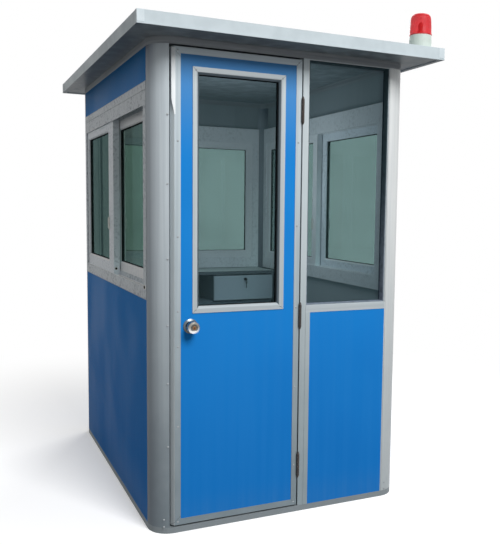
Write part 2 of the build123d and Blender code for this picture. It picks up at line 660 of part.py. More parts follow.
dome = revolve(Plane.XZ * dome_outline, axis=Axis.Z)
nodes["beacon_dome"] = beacon_place * Pos(0, 0, BEACON_BASE_HEIGHT) * dome


os.makedirs("parts", exist_ok=True)
for name, solid in nodes.items():
    export_step(solid, f"parts/{name}.step")
print(len(nodes), "nodes")
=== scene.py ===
import math

import bmesh
import bpy
from mathutils import Matrix, Vector


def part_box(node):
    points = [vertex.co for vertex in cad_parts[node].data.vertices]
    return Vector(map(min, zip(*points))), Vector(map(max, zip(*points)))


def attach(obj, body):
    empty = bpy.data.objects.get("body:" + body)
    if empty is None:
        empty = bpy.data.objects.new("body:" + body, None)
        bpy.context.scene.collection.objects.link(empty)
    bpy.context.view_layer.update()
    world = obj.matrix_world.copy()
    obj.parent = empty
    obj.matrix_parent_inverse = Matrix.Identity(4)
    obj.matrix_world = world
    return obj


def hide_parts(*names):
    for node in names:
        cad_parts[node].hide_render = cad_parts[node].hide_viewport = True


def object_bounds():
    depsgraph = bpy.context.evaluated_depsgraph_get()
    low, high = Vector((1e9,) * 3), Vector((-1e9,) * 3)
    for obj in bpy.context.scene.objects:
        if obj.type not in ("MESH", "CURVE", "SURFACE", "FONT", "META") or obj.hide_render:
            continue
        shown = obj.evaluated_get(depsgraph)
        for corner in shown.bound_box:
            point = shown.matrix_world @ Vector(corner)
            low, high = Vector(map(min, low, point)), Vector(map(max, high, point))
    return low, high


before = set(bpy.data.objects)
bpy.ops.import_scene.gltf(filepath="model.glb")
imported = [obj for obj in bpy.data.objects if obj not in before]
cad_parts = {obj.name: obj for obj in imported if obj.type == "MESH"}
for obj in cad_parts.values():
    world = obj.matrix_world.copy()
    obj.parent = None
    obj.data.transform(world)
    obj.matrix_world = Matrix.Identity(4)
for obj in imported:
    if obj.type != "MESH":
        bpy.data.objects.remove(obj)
cad_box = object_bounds()


# Base frame and floor: a ring of mill-finish aluminium rail on the ground, rounded at its corners,
# with a sheet-covered floor board laid inside it. The metal darkens towards the ground in patches, as
# painted shade.

def display(red, green, blue):
    """The colour that a screen shows with these values, as the renderer counts it."""
    shares = [value / 255 for value in (red, green, blue)]
    linear = [share / 12.92 if share <= 0.04045 else ((share + 0.055) / 1.055) ** 2.4 for share in shares]
    return (*linear, 1.0)


def plug(tree, socket, value):
    """Sets an input to a value, or links it to another node's output."""
    if isinstance(value, bpy.types.NodeSocket):
        tree.links.new(value, socket)
    else:
        socket.default_value = value


def add(tree, kind, inputs=None, **settings):
    """A shader node of that kind with its settings and inputs."""
    node = tree.nodes.new("ShaderNode" + kind)
    for name, value in settings.items():
        setattr(node, name, value)
    for key, value in (inputs or {}).items():
        plug(tree, node.inputs[key], value)
    return node


def start_finish(name):
    """A new material with an empty node tree, and the place on the piece that its patterns follow."""
    material = bpy.data.materials.new(name)
    material.use_nodes = True
    tree = material.node_tree
    tree.nodes.clear()
    return material, tree, add(tree, "TexCoord").outputs["Object"]


def along_axes(tree, vector):
    """The three numbers of a place or a direction."""
    return add(tree, "SeparateXYZ", {"Vector": vector}).outputs


def grain(tree, place, scale, detail=3.0, stretch=None):
    """Noise from 0 to 1 at that many spots to the metre, drawn out along an axis where stretch says so."""
    if stretch:
        place = add(tree, "Mapping", {"Vector": place, "Scale": stretch}).outputs["Vector"]
    return add(tree, "TexNoise", {"Vector": place, "Scale": scale, "Detail": detail}).outputs["Fac"]


def ramp(tree, value, start, end, low=0.0, high=1.0):
    """The value carried smoothly from low, at start, to high, at end."""
    inputs = {"Value": value, "From Min": start, "From Max": end, "To Min": low, "To Max": high}
    return add(tree, "MapRange", inputs, interpolation_type="SMOOTHSTEP").outputs["Result"]


MOST_OF_GRAIN = (0.3, 0.7)
UPPER_GRAIN = (0.4, 0.7)


def gloss(tree, pattern, smooth, dull):
    """A roughness from smooth to dull, over the band that most of a noise's values lie in."""
    return ramp(tree, pattern, *MOST_OF_GRAIN, smooth, dull)


def combine(tree, operation, first, second=0.0):
    """Two numbers put together by one sum."""
    return add(tree, "Math", {0: first, 1: second}, operation=operation).outputs["Value"]


def both(tree, first, second):
    """One share of another."""
    return combine(tree, "MULTIPLY", first, second)


def tint(tree, share, under, over):
    """The under colour with a share of the over colour on it, each in screen values or from a node."""
    node = add(tree, "Mix", data_type="RGBA")
    sockets = {socket.name: socket for socket in node.inputs if socket.enabled}
    plug(tree, sockets["Factor"], share)
    for key, colour in (("A", under), ("B", over)):
        plug(tree, sockets[key], display(*colour) if isinstance(colour, tuple) else colour)
    return next(socket for socket in node.outputs if socket.enabled)


def relief(tree, height, depth, under=None):
    """Bumps of that depth in metres from a pattern, on top of other bumps."""
    inputs = {"Height": height, "Distance": depth, "Strength": 1.0}
    if under:
        inputs["Normal"] = under
    return add(tree, "Bump", inputs).outputs["Normal"]


def end_finish(tree, colour, roughness, metal=0.0, specular=0.5, bumps=None):
    """Closes a finish with one surface shader."""
    inputs = {"Base Color": colour, "Roughness": roughness, "Metallic": metal,
              "Specular IOR Level": specular}
    if bumps:
        inputs["Normal"] = bumps
    shader = add(tree, "BsdfPrincipled", inputs)
    add(tree, "OutputMaterial", {"Surface": shader.outputs["BSDF"]})


def dress(material, *nodes):
    """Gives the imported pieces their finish."""
    for name in nodes:
        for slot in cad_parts[name].material_slots:
            slot.material = material


DRAWN_UPRIGHT = (70.0, 70.0, 1.2)
DRAWN_LEVEL = (1.2, 1.2, 90.0)
# Height from which painted shade darkens the aluminium down to the ground.
FOOT_SHADE_HEIGHT = 1.8
FLANK_DEPTH = 0.085
EAVES_DEPTH = 0.25
end_wall_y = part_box("base_frame")[1].y
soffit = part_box("roof_edge")[0].z
eaves = (soffit - EAVES_DEPTH, soffit)


def oxidised_with_foot_shade(tree, lines, clouds, oxide, height, light, dark, foot):
    """The colour of drawn aluminium: fine lines under a cloudy oxide, and painted shade towards the foot.
    """
    colour = tint(tree, ramp(tree, lines, *MOST_OF_GRAIN), dark, light)
    colour = tint(tree, ramp(tree, clouds, *oxide), colour, dark)
    # Painted shade towards the foot, broken into patches by the oxide clouds.
    patchy = ramp(tree, clouds, 0.3, 0.65, 0.9, 1.0)
    return tint(tree, both(tree, ramp(tree, height, FOOT_SHADE_HEIGHT, 0.0), patchy), colour, foot)


def mill_aluminium(name, drawn, light, dark, foot, shaded_flank=None):
    """Extruded aluminium with fine lines along it, and painted shade towards the foot and on its flanks."""
    material, tree, place = start_finish(name)
    lines = grain(tree, place, 1.0, stretch=drawn)
    clouds = grain(tree, place, 6.0)
    axes = along_axes(tree, place)
    colour = oxidised_with_foot_shade(tree, lines, clouds, (0.45, 0.75, 0.0, 0.3), axes["Z"], light, dark, foot)
    # Painted shade on the flanks that turn away from the front and back, deepest under the eaves.
    if shaded_flank:
        outward = combine(tree, "ABSOLUTE", axes["Y"])
        turning = ramp(tree, outward, end_wall_y, end_wall_y - FLANK_DEPTH)
        eaves_shadow = ramp(tree, axes["Z"], *eaves, 0.4, 1.0)
        colour = tint(tree, both(tree, turning, eaves_shadow), colour, shaded_flank)
    end_finish(tree, colour, gloss(tree, lines, 0.36, 0.5), metal=0.2, specular=0.08,
               bumps=relief(tree, lines, 0.0004))
    return material


# The rail's foot tone is painted shade.
rail_metal = mill_aluminium("rail_aluminium", DRAWN_LEVEL, light=(152, 158, 161), dark=(128, 134, 138),
                            foot=(130, 138, 142))
dress(rail_metal, "base_frame")

floor_sheet, tree, place = start_finish("floor_sheet")
flecks = grain(tree, place, 260.0, detail=2.0)
wear = grain(tree, place, 3.0)
colour = tint(tree, ramp(tree, flecks, 0.4, 0.62), (150, 155, 158), (176, 180, 181))
colour = tint(tree, ramp(tree, wear, *UPPER_GRAIN, 0.0, 0.4), colour, (150, 146, 138))
end_finish(tree, colour, gloss(tree, wear, 0.45, 0.7), bumps=relief(tree, flecks, 0.0003))
dress(floor_sheet, "floor_panel")


# Corner posts: quarter-round aluminium extrusions, full height, standing on the base frame.
# Blind rivets hold the latch post's flange, and two more at each foot hold the posts to the rail.

def turned(mesh, place, axis, profile, steps):
    """Turns an outline of (radius, distance along the axis) points once round the axis at a place."""
    axis = Vector(axis).normalized()
    side = axis.orthogonal().normalized()
    points = [mesh.verts.new(Vector(place) + side * radius + axis * along) for radius, along in profile]
    edges = [mesh.edges.new(pair) for pair in zip(points, points[1:])]
    bmesh.ops.spin(mesh, geom=points + edges, cent=place, axis=axis, angle=math.tau, steps=steps,
                   use_merge=True)


SEAM_WIDTH = 1e-6


def close_seams(mesh):
    """Joins the corners that lie on each other and turns all faces outwards."""
    bmesh.ops.remove_doubles(mesh, verts=mesh.verts, dist=SEAM_WIDTH)
    bmesh.ops.recalc_face_normals(mesh, faces=mesh.faces)


def set_piece(name, mesh, material, body, crease=35.0):
    """Makes a piece of a finished mesh, smooth up to the crease angle, riding on a body."""
    close_seams(mesh)
    data = bpy.data.meshes.new(name)
    mesh.to_mesh(data)
    mesh.free()
    data.shade_smooth()
    data.set_sharp_from_angle(angle=math.radians(crease))
    data.materials.append(material)
    piece = bpy.data.objects.new(name, data)
    bpy.context.scene.collection.objects.link(piece)
    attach(piece, body)
    return piece


RIVET_RADIUS = 0.0044
RIVET_HEIGHT = 0.0020
RIVET_HOLE = 0.0013
RIVET_STEPS = 12


def rivet(mesh, place, outward):
    """The domed head of a blind rivet, with the hole that its pin leaves."""
    turned(mesh, place, outward, (
        (0.0, 0.4 * RIVET_HEIGHT),
        (RIVET_HOLE, 0.4 * RIVET_HEIGHT),
        (1.25 * RIVET_HOLE, RIVET_HEIGHT),
        (0.65 * RIVET_RADIUS, 0.9 * RIVET_HEIGHT),
        (RIVET_RADIUS, 0.3 * RIVET_HEIGHT),
        (RIVET_RADIUS, 0.0),
        (0.0, 0.0),
    ), RIVET_STEPS)


def even_finish(name, scale, tones, rough, band=None, stretch=None, bump=None, metal=0.0, specular=0.5):
    """One pattern all over, which carries the colour between two tones and the roughness with it."""
    material, tree, place = start_finish(name)
    pattern = grain(tree, place, scale, stretch=stretch)
    colour = tint(tree, ramp(tree, pattern, *band) if band else pattern, *tones)
    bumps = relief(tree, pattern, bump) if bump else None
    end_finish(tree, colour, gloss(tree, pattern, *rough), metal, specular, bumps)
    return material


POSTS = ("post_front_left", "post_front_right", "post_rear_left", "post_rear_right")
FILMED_POST = "post_front_right"
LATCH_RIVET_HEIGHTS = (0.404, 0.691, 0.952, 1.248, 1.574, 1.872)
FOOT_RIVET_HEIGHTS = (0.036, 0.069)
FLANGE_MARGIN = 0.007
FOOT_MARGIN = 0.026

# Post tones: the foot and flank tones are painted shade.
post_metal = mill_aluminium("post_aluminium", DRAWN_UPRIGHT, light=(196, 205, 210), dark=(184, 193, 199),
                            foot=(116, 126, 132), shaded_flank=(82, 90, 104))
filmed_metal = mill_aluminium("filmed_aluminium", DRAWN_UPRIGHT, light=(220, 223, 223),
                              dark=(208, 212, 213), foot=(166, 173, 176))
rivet_metal = even_finish("rivet_aluminium", 900.0, ((124, 129, 133), (176, 181, 184)), (0.35, 0.6),
                          metal=0.4)

mesh = bmesh.new()
latch_post_low, latch_post_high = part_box("post_front_left")
for height in LATCH_RIVET_HEIGHTS:
    rivet(mesh, (latch_post_high.x - FLANGE_MARGIN, latch_post_low.y, height), (0, -1, 0))
for post in POSTS:
    dress(filmed_metal if post == FILMED_POST else post_metal, post)
    low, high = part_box(post)
    facing, face_y = (1, high.y) if high.y > 0 else (-1, low.y)
    foot_x = high.x - FOOT_MARGIN if low.x < 0 else low.x + FOOT_MARGIN
    for height in FOOT_RIVET_HEIGHTS:
        rivet(mesh, (foot_x, face_y, height), (0, facing, 0))
set_piece("post_rivets", mesh, rivet_metal, "booth")


# Wall panels: insulated boards between two steel sheets, coil-coated blue outside and pale grey
# inside, pushed into the posts' grooves. The coat has a faint orange peel and dusty lower edges.

WALLS = ("left", "right", "rear")
PANELS = [f"{wall}_{part}_panel" for wall in WALLS for part in ("lower", "upper")]
PAINTED_SHEEN_RISE = (0.1, 1.5)
DUSTY_FOOT = (0.2, 0.03)
EAVES_SHADE_SPAN = (1.65, 2.15)
PAINTED_INNER_LIGHT = (1.6, 0.9)


def beyond(tree, axis, limit):
    """1 where a place lies further out from the booth's middle than the limit, or 0."""
    return combine(tree, "GREATER_THAN", combine(tree, "ABSOLUTE", axis), limit)


blue_coat, tree, place = start_finish("blue_coat")
axes = along_axes(tree, place)
side_panel, end_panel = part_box("right_lower_panel"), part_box("rear_lower_panel")
side_out = beyond(tree, axes["X"], (side_panel[0].x + side_panel[1].x) / 2)
end_out = beyond(tree, axes["Y"], (end_panel[0].y + end_panel[1].y) / 2)
peel = grain(tree, place, 420.0, detail=2.0)
waves = grain(tree, place, 2.4, detail=1.0)
streaks = grain(tree, place, 1.0, stretch=(26.0, 26.0, 0.7))
# Painted sheen: the blue grows lighter higher up.
blue = tint(tree, ramp(tree, axes["Z"], *PAINTED_SHEEN_RISE), (25, 116, 194), (32, 133, 213))
blue = tint(tree, ramp(tree, streaks, 0.35, 0.7, 0.0, 0.2), blue, (46, 130, 204))
blue = tint(tree, ramp(tree, waves, *UPPER_GRAIN, 0.0, 0.15), blue, (22, 108, 188))
dust = both(tree, ramp(tree, axes["Z"], *DUSTY_FOOT), ramp(tree, streaks, *MOST_OF_GRAIN, 0.03, 0.09))
blue = tint(tree, dust, blue, (110, 128, 142))
# Painted shade under the eaves: the heads of the front and back walls are greyed.
painted_lighting = both(tree, end_out, ramp(tree, axes["Z"], *EAVES_SHADE_SPAN, 0.0, 0.5))
blue = tint(tree, painted_lighting, blue, (112, 152, 188))
# Painted shadow of the roof on the heads of the side walls.
eaves_shadow = both(tree, side_out, ramp(tree, axes["Z"], *eaves, 0.0, 0.75))
blue = tint(tree, eaves_shadow, blue, (10, 84, 124))
grey = tint(tree, streaks, (138, 149, 154), (156, 166, 170))
# Painted light: the inside faces are lighter lower down.
grey = tint(tree, ramp(tree, axes["Z"], *PAINTED_INNER_LIGHT, 0.0, 0.8), grey, (184, 194, 199))
colour = tint(tree, combine(tree, "MAXIMUM", side_out, end_out), grey, blue)
end_finish(tree, colour, gloss(tree, waves, 0.34, 0.46), specular=0.006,
           bumps=relief(tree, peel, 0.00012, relief(tree, waves, 0.004)))
dress(blue_coat, *PANELS, "fixed_panel", "door_leaf")


# Sliding windows: welded plastic frames with two tracks, each with an outer and an inner sash.
# Their profiles still wear a protective film, speckled where it has lifted in fine blisters.

SASHES = ("outer", "inner")
PAINTED_SKYLIGHT_FACE = (0.3, 0.6)
side_rib = (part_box("right_outer_sash")[0].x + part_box("right_inner_sash")[1].x) / 2
rear_rib = (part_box("rear_outer_sash")[0].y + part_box("rear_inner_sash")[1].y) / 2


def filmed_plastic(name, weathered, clean, speck):
    """White plastic under a blistered film: grey outside the middle rib, clean inside it, and lightened on
    faces that look up as painted light.
    """
    material, tree, place = start_finish(name)
    axes = along_axes(tree, place)
    outside = combine(tree, "MAXIMUM", beyond(tree, axes["X"], side_rib), beyond(tree, axes["Y"], rear_rib))
    speckle = grain(tree, place, 70.0, detail=5.0)
    blisters = add(tree, "TexVoronoi", {"Vector": place, "Scale": 95.0}).outputs["Distance"]
    patches = ramp(tree, grain(tree, place, 9.0, detail=2.0), 0.38, 0.6, 0.35, 1.0)
    film = both(tree, ramp(tree, speckle, 0.50, 0.62), patches)
    film = both(tree, film, ramp(tree, outside, 0.0, 1.0, 0.3, 1.0))
    colour = tint(tree, outside, clean, weathered)
    colour = tint(tree, ramp(tree, blisters, 0.05, 0.3, 0.2, 0.0), colour, (236, 240, 242))
    colour = tint(tree, film, colour, speck)
    # Painted light: faces that look up are lightened as if lit from above.
    upward = along_axes(tree, add(tree, "NewGeometry").outputs["True Normal"])["Z"]
    colour = tint(tree, ramp(tree, upward, *PAINTED_SKYLIGHT_FACE), colour, (252, 253, 254))
    end_finish(tree, colour, ramp(tree, film, 0.0, 1.0, 0.34, 0.5), specular=0.04,
               bumps=relief(tree, blisters, 0.0002))
    return material


frame_plastic = filmed_plastic("frame_plastic", weathered=(208, 216, 221), clean=(238, 242, 244),
                               speck=(170, 179, 186))
sash_plastic = filmed_plastic("sash_plastic", weathered=(236, 244, 250), clean=(242, 245, 246),
                              speck=(214, 223, 229))
for wall in WALLS:
    dress(frame_plastic, f"{wall}_window_frame")
    dress(sash_plastic, *(f"{wall}_{sash}_sash" for sash in SASHES))


# Sash pulls: small moulded grips of the same plastic, one on each meeting stile, bare of film
# and yellowed a little by fingers.

pull_plastic = even_finish("pull_plastic", 120.0, ((226, 226, 220), (202, 200, 190)), (0.3, 0.45),
                           band=UPPER_GRAIN)
dress(pull_plastic, "sash_pulls")


# Panes: float glass bedded in the sashes, the door and the light beside it. The sliding sashes
# have grey-green glass, and the front has clear glass, each filmed with a little dust.

DUST_DARKENING = 16


def glass(name, colour, mirrored):
    """A sheet of glass that mirrors a share, and tints what is seen through it, more where dust lies."""
    material, tree, place = start_finish(name)
    dust = ramp(tree, grain(tree, place, 2.0), 0.4, 0.75, 0.0, 0.5)
    dulled = tint(tree, dust, colour, tuple(value - DUST_DARKENING for value in colour))
    through = add(tree, "BsdfTransparent", {"Color": dulled}).outputs["BSDF"]
    mirror = add(tree, "BsdfGlossy", {"Color": display(180, 226, 228), "Roughness": 0.02}).outputs["BSDF"]
    surface = add(tree, "MixShader", {0: mirrored, 1: through, 2: mirror}).outputs["Shader"]
    add(tree, "OutputMaterial", {"Surface": surface})
    return material


sash_glass = glass("sash_glass", (188, 202, 197), mirrored=0.034)
front_glass = glass("front_glass", (226, 234, 238), mirrored=0.013)
dress(sash_glass, *(f"{wall}_window_panes" for wall in WALLS))
dress(front_glass, "fixed_light_glass", "door_glass")


# Glazing gaskets: black rubber strips pressed between each pane and its bead, inside and out, and
# mitred at the corners.

SASH_REBATE = 0.010
SASH_REVEAL = 0.0045
GASKET_WIDTH = 0.003
RIM_ANGLE = 0.5


def thin_axis(low, high):
    """The axis along which a box is thinnest."""
    return min(range(3), key=lambda axis: high[axis] - low[axis])


def pane_in(panes, holder):
    """The box of the pane that lies inside one sash."""
    low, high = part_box(holder)
    normal = thin_axis(low, high)
    points = [vertex.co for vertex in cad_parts[panes].data.vertices]
    points = [point for point in points if low[normal] <= point[normal] <= high[normal]]
    return [Vector(limit(point[axis] for point in points) for axis in range(3)) for limit in (min, max)]


def axis_vector(axis, length, others=0.0):
    """A vector with a length along one axis, and another along the other two."""
    return Vector(length if number == axis else others for number in range(3))


def push(mesh, grown, step):
    """Moves the corners that an extrusion has made by a step."""
    made = [part for part in grown if isinstance(part, bmesh.types.BMVert)]
    bmesh.ops.translate(mesh, verts=made, vec=step)


def strip_ring(mesh, low, high, normal, level, width, depth, round_share=0.35):
    """A mitred strip inside a rectangle, standing from a level to a depth along the normal axis."""
    flat = [axis for axis in range(3) if axis != normal]
    spread = Matrix(((0.0,) * 4,) * 4)
    for column, axis in enumerate(flat):
        spread[axis][column] = (high[axis] - low[axis]) / 2
    spread[normal][2] = 1.0
    spread[3][3] = 1.0
    centre = (low + high) / 2
    centre[normal] = level
    sheet = bmesh.ops.create_grid(mesh, x_segments=1, y_segments=1, size=1.0,
                                  matrix=Matrix.Translation(centre) @ spread)
    middle = sheet["verts"][0].link_faces[0]
    ring = bmesh.ops.inset_region(mesh, faces=[middle], thickness=width, use_even_offset=True,
                                  use_boundary=True)["faces"]
    bmesh.ops.delete(mesh, geom=[middle], context="FACES_ONLY")
    grown = bmesh.ops.extrude_face_region(mesh, geom=ring)["geom"]
    push(mesh, grown, axis_vector(normal, depth))
    mesh.normal_update()
    edges = [part for part in grown if isinstance(part, bmesh.types.BMEdge)]
    rims = [edge for edge in edges if edge.calc_face_angle(0.0) > RIM_ANGLE]
    bmesh.ops.bevel(mesh, geom=rims, offset=round_share * min(width, abs(depth)), segments=2, profile=0.5,
                    affect="EDGES", material=-1)


def gasket_pair(mesh, low, high, rebate, reveal):
    """Two gaskets, one on each face of a pane whose box is given, that line the reveal up to the bead."""
    normal = thin_axis(low, high)
    inset = axis_vector(normal, 0.0, rebate)
    for level, depth in ((low[normal], -reveal), (high[normal], reveal)):
        strip_ring(mesh, low + inset, high - inset, normal, level, GASKET_WIDTH, depth)


# Black rubber for gaskets and seals, also used as painted shade in the holes and the key slot.
black_rubber = even_finish("black_rubber", 60.0, ((22, 24, 26), (40, 43, 45)), (0.55, 0.75),
                           band=UPPER_GRAIN, specular=0.03)
mesh = bmesh.new()
for wall in WALLS:
    for sash in SASHES:
        pane_low, pane_high = pane_in(f"{wall}_window_panes", f"{wall}_{sash}_sash")
        gasket_pair(mesh, pane_low, pane_high, SASH_REBATE, SASH_REVEAL)
set_piece("window_gaskets", mesh, black_rubber, "booth")


# Window sealant: a thin bead of grey silicone drawn round each frame where it meets the wall,
# tooled with a finger, so it runs a little over both.

SEALANT_LAP = 0.003
SEALANT_WIDTH = 0.005
SEALANT_PROUD = 0.0022
WALL_FACES = {
    "left": (0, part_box("left_lower_panel")[0].x),
    "right": (0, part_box("right_lower_panel")[1].x),
    "rear": (1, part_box("rear_lower_panel")[1].y),
}

sealant = even_finish("grey_sealant", 90.0, ((168, 176, 181), (190, 197, 201)), (0.3, 0.5), bump=0.0008,
                      specular=0.05)
mesh = bmesh.new()
for wall, (normal, level) in WALL_FACES.items():
    low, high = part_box(f"{wall}_window_frame")
    lap = axis_vector(normal, 0.0, SEALANT_LAP)
    proud = math.copysign(SEALANT_PROUD, level)
    strip_ring(mesh, low - lap, high + lap, normal, level, SEALANT_WIDTH, proud)
set_piece("window_sealant", mesh, sealant, "booth")


# Roller holes and drains: the outer sashes' end faces have an open drilled hole with a white
# moulded rim, and one foot of each frame has an oval one, which drains its tracks. A black disc
# set in each hole is painted shade.

ROLLER_HOLE = {"radius": 0.0058, "rim": 0.0082, "proud": 0.0014}
DRAIN_HOLE = {"radius": 0.0080, "rim": 0.0105, "proud": 0.0018}
DRAIN_STRETCH = 1.9
HOLE_STEPS = 20
HOLE_RISE = 0.032
HOLE_DEPTH_SHARE = 0.36
DRAIN_INSET = 0.0225
DRAIN_RISE = 0.053


def rimmed_hole(rims, shade_discs, place, outward, radius, rim, proud, stretch=(1.0, 1.0, 1.0)):
    """A moulded rim round a hole with a black disc of painted shade in it, drawn out along an axis where
    stretch says so.
    """
    ring = ((radius, 0.0), (radius, 0.8 * proud), (0.5 * (radius + rim), proud), (rim, 0.4 * proud),
            (rim, 0.0), (radius, 0.0))
    disc = ((0.0, 0.5 * proud), (radius, 0.5 * proud), (radius, 0.0), (0.0, 0.0))
    for mesh, profile in ((rims, ring), (shade_discs, disc)):
        before = len(mesh.verts)
        turned(mesh, place, outward, profile, HOLE_STEPS)
        bmesh.ops.scale(mesh, vec=stretch, space=Matrix.Translation(-place), verts=mesh.verts[before:])


rims = bmesh.new()
# Black discs in the holes: painted shade.
shade_discs = bmesh.new()
for wall, (normal, level) in WALL_FACES.items():
    slide = 1 - normal
    low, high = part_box(f"{wall}_outer_sash")
    outer, inner = (low, high) if level < 0 else (high, low)
    meeting_end = min(low[slide], high[slide], key=abs)
    place = Vector((0.0, 0.0, low.z + HOLE_RISE))
    place[normal] = outer[normal] + HOLE_DEPTH_SHARE * (inner[normal] - outer[normal])
    place[slide] = meeting_end
    outward = axis_vector(slide, math.copysign(1.0, meeting_end))
    rimmed_hole(rims, shade_discs, place, outward, **ROLLER_HOLE)
    low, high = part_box(f"{wall}_window_frame")
    place = Vector((0.0, 0.0, low.z + DRAIN_RISE))
    place[normal] = low[normal] if level < 0 else high[normal]
    place[slide] = low[slide] + DRAIN_INSET
    outward = axis_vector(normal, math.copysign(1.0, level))
    stretch = axis_vector(slide, DRAIN_STRETCH, 1.0)
    rimmed_hole(rims, shade_discs, place, outward, **DRAIN_HOLE, stretch=stretch)
set_piece("window_hole_rims", rims, pull_plastic, "booth")
set_piece("window_hole_shade", shade_discs, black_rubber, "booth")


# Front beside the door: an aluminium mullion, a fixed blue panel with its edge strip, a sill rail
# and a narrow glazing frame, all screwed between the mullion and the right-hand post.

# The mullion's and fixed light's foot tones are painted shade.
mullion_metal = mill_aluminium("mullion_aluminium", DRAWN_UPRIGHT, light=(194, 204, 207),
                               dark=(184, 193, 197), foot=(138, 150, 155))
fixed_light_metal = mill_aluminium("fixed_light_aluminium", DRAWN_LEVEL, light=(194, 202, 206),
                                   dark=(180, 188, 193), foot=(158, 168, 173))
dress(mullion_metal, "door_mullion", "fixed_panel_strip")
dress(fixed_light_metal, "fixed_light_sill", "fixed_light_glazing")


# Fixed light's lining: a rubber channel pressed into the glazing frame round the clear sheet,
# deep enough to line the frame's reveal on the weather side. Its dark tone is painted shade in the
# reveal, and it is lighter towards the sill as painted light.

LINING_WIDTH = 0.004
LINING_GAP = 0.001
LINING_ROUND = 0.2
LINING_LIT_SPAN = (1.75, 1.10)

shaded_lining, tree, place = start_finish("shaded_lining")
bloom = grain(tree, place, 40.0)
# Painted light: the lining is lighter towards the sill.
painted_lighting = ramp(tree, along_axes(tree, place)["Z"], *LINING_LIT_SPAN)
colour = tint(tree, painted_lighting, (64, 82, 88), (122, 132, 146))
colour = tint(tree, ramp(tree, bloom, *UPPER_GRAIN, 0.0, 0.4), colour, (52, 62, 68))
end_finish(tree, colour, gloss(tree, bloom, 0.5, 0.7), specular=0.03)

mesh = bmesh.new()
glass_low, glass_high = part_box("fixed_light_glass")
reveal_low, reveal_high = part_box("fixed_light_glazing")
outer_depth = reveal_low.y + LINING_GAP - glass_low.y
inner_depth = reveal_high.y - LINING_GAP - glass_high.y
normal = thin_axis(glass_low, glass_high)
for level, depth in ((glass_low.y, outer_depth), (glass_high.y, inner_depth)):
    strip_ring(mesh, glass_low, glass_high, normal, level, LINING_WIDTH, depth, LINING_ROUND)
set_piece("fixed_light_lining", mesh, shaded_lining, "booth")


# Door stop: an aluminium strip screwed behind the opening on both sides and over the head, with
# a black rubber seal stuck to it that the closed leaf rests close to.

def edges_of(corners):
    """The edges that meet at some corners, each once."""
    return list(dict.fromkeys(edge for corner in corners for edge in corner.link_edges))


def soft_block(mesh, low, high, edge):
    """A block between two corners with its edges rounded."""
    low, high = Vector(low), Vector(high)
    size = Matrix.Diagonal((*(high - low), 1.0))
    made = bmesh.ops.create_cube(mesh, size=1.0, matrix=Matrix.Translation((low + high) / 2) @ size)
    bmesh.ops.bevel(mesh, geom=edges_of(made["verts"]), offset=edge, segments=2, profile=0.5,
                    affect="EDGES", material=-1)


SEAL_FACE = 0.010
SEAL_DEPTH = 0.005
SEAL_INSET = 0.001
SEAL_ROUND = 0.0015

dress(post_metal, "door_stop")
mesh = bmesh.new()
door_low, door_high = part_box("door_edge_frame")
seal_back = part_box("door_stop")[0].y
seal_front = seal_back - SEAL_DEPTH
seal_left, seal_right = door_low.x + SEAL_INSET, door_high.x - SEAL_INSET
head_foot = door_high.z - SEAL_FACE
for left in (seal_left, seal_right - SEAL_FACE):
    soft_block(mesh, (left, seal_front, door_low.z), (left + SEAL_FACE, seal_back, head_foot), SEAL_ROUND)
soft_block(mesh, (seal_left, seal_front, head_foot), (seal_right, seal_back, door_high.z), SEAL_ROUND)
set_piece("door_seal", mesh, black_rubber, "booth")


# Door: an insulated blue leaf in a mitred aluminium edge frame, with a glazed upper half held by
# a bevelled trim on both faces. Rivets fix the frame, and one in each corner fixes the trim.

MITRE_HALF = 0.0005


def mitred_aluminium(name, low, high, light, dark, foot, lit_latch_bevel=None, shaded_inner_slope=None):
    """Aluminium strip with painted shade towards the foot and a dark line at each mitre, with painted light
    on the latch bevel and painted shade on the inner slopes.
    """
    material, tree, place = start_finish(name)
    axes = along_axes(tree, place)
    inward = []
    for axis, start, end in (("X", low.x, high.x), ("Z", low.z, high.z)):
        from_start = combine(tree, "SUBTRACT", axes[axis], start)
        inward.append(combine(tree, "MINIMUM", from_start, combine(tree, "SUBTRACT", end, axes[axis])))
    off_mitre = combine(tree, "ABSOLUTE", combine(tree, "SUBTRACT", *inward))
    upright = combine(tree, "LESS_THAN", *inward)
    side_lines = both(tree, grain(tree, place, 1.0, stretch=DRAWN_UPRIGHT), upright)
    across = combine(tree, "SUBTRACT", 1.0, upright)
    level_lines = both(tree, grain(tree, place, 1.0, stretch=DRAWN_LEVEL), across)
    lines = combine(tree, "ADD", side_lines, level_lines)
    clouds = grain(tree, place, 7.0)
    colour = oxidised_with_foot_shade(tree, lines, clouds, (0.5, 0.75, 0.0, 0.35), axes["Z"], light, dark, foot)
    # Painted light on the latch bevel, which faces away from the lamps.
    if lit_latch_bevel:
        width, share, tone = lit_latch_bevel
        bevel = combine(tree, "LESS_THAN", axes["X"], low.x + width)
        colour = tint(tree, both(tree, bevel, share), colour, tone)
    # Painted shade on the inner slopes of the sides and head.
    if shaded_inner_slope:
        start, share, tone = shaded_inner_slope
        upper_half = combine(tree, "GREATER_THAN", axes["Z"], (low.z + high.z) / 2)
        sides_and_head = combine(tree, "MAXIMUM", upright, upper_half)
        slope = combine(tree, "GREATER_THAN", combine(tree, "MINIMUM", *inward), start)
        slope = both(tree, both(tree, slope, sides_and_head), share)
        colour = tint(tree, slope, colour, tone)
    colour = tint(tree, ramp(tree, off_mitre, 2 * MITRE_HALF, MITRE_HALF), colour, (76, 82, 87))
    end_finish(tree, colour, gloss(tree, lines, 0.34, 0.48), metal=0.2, specular=0.08,
               bumps=relief(tree, lines, 0.0004))
    return material


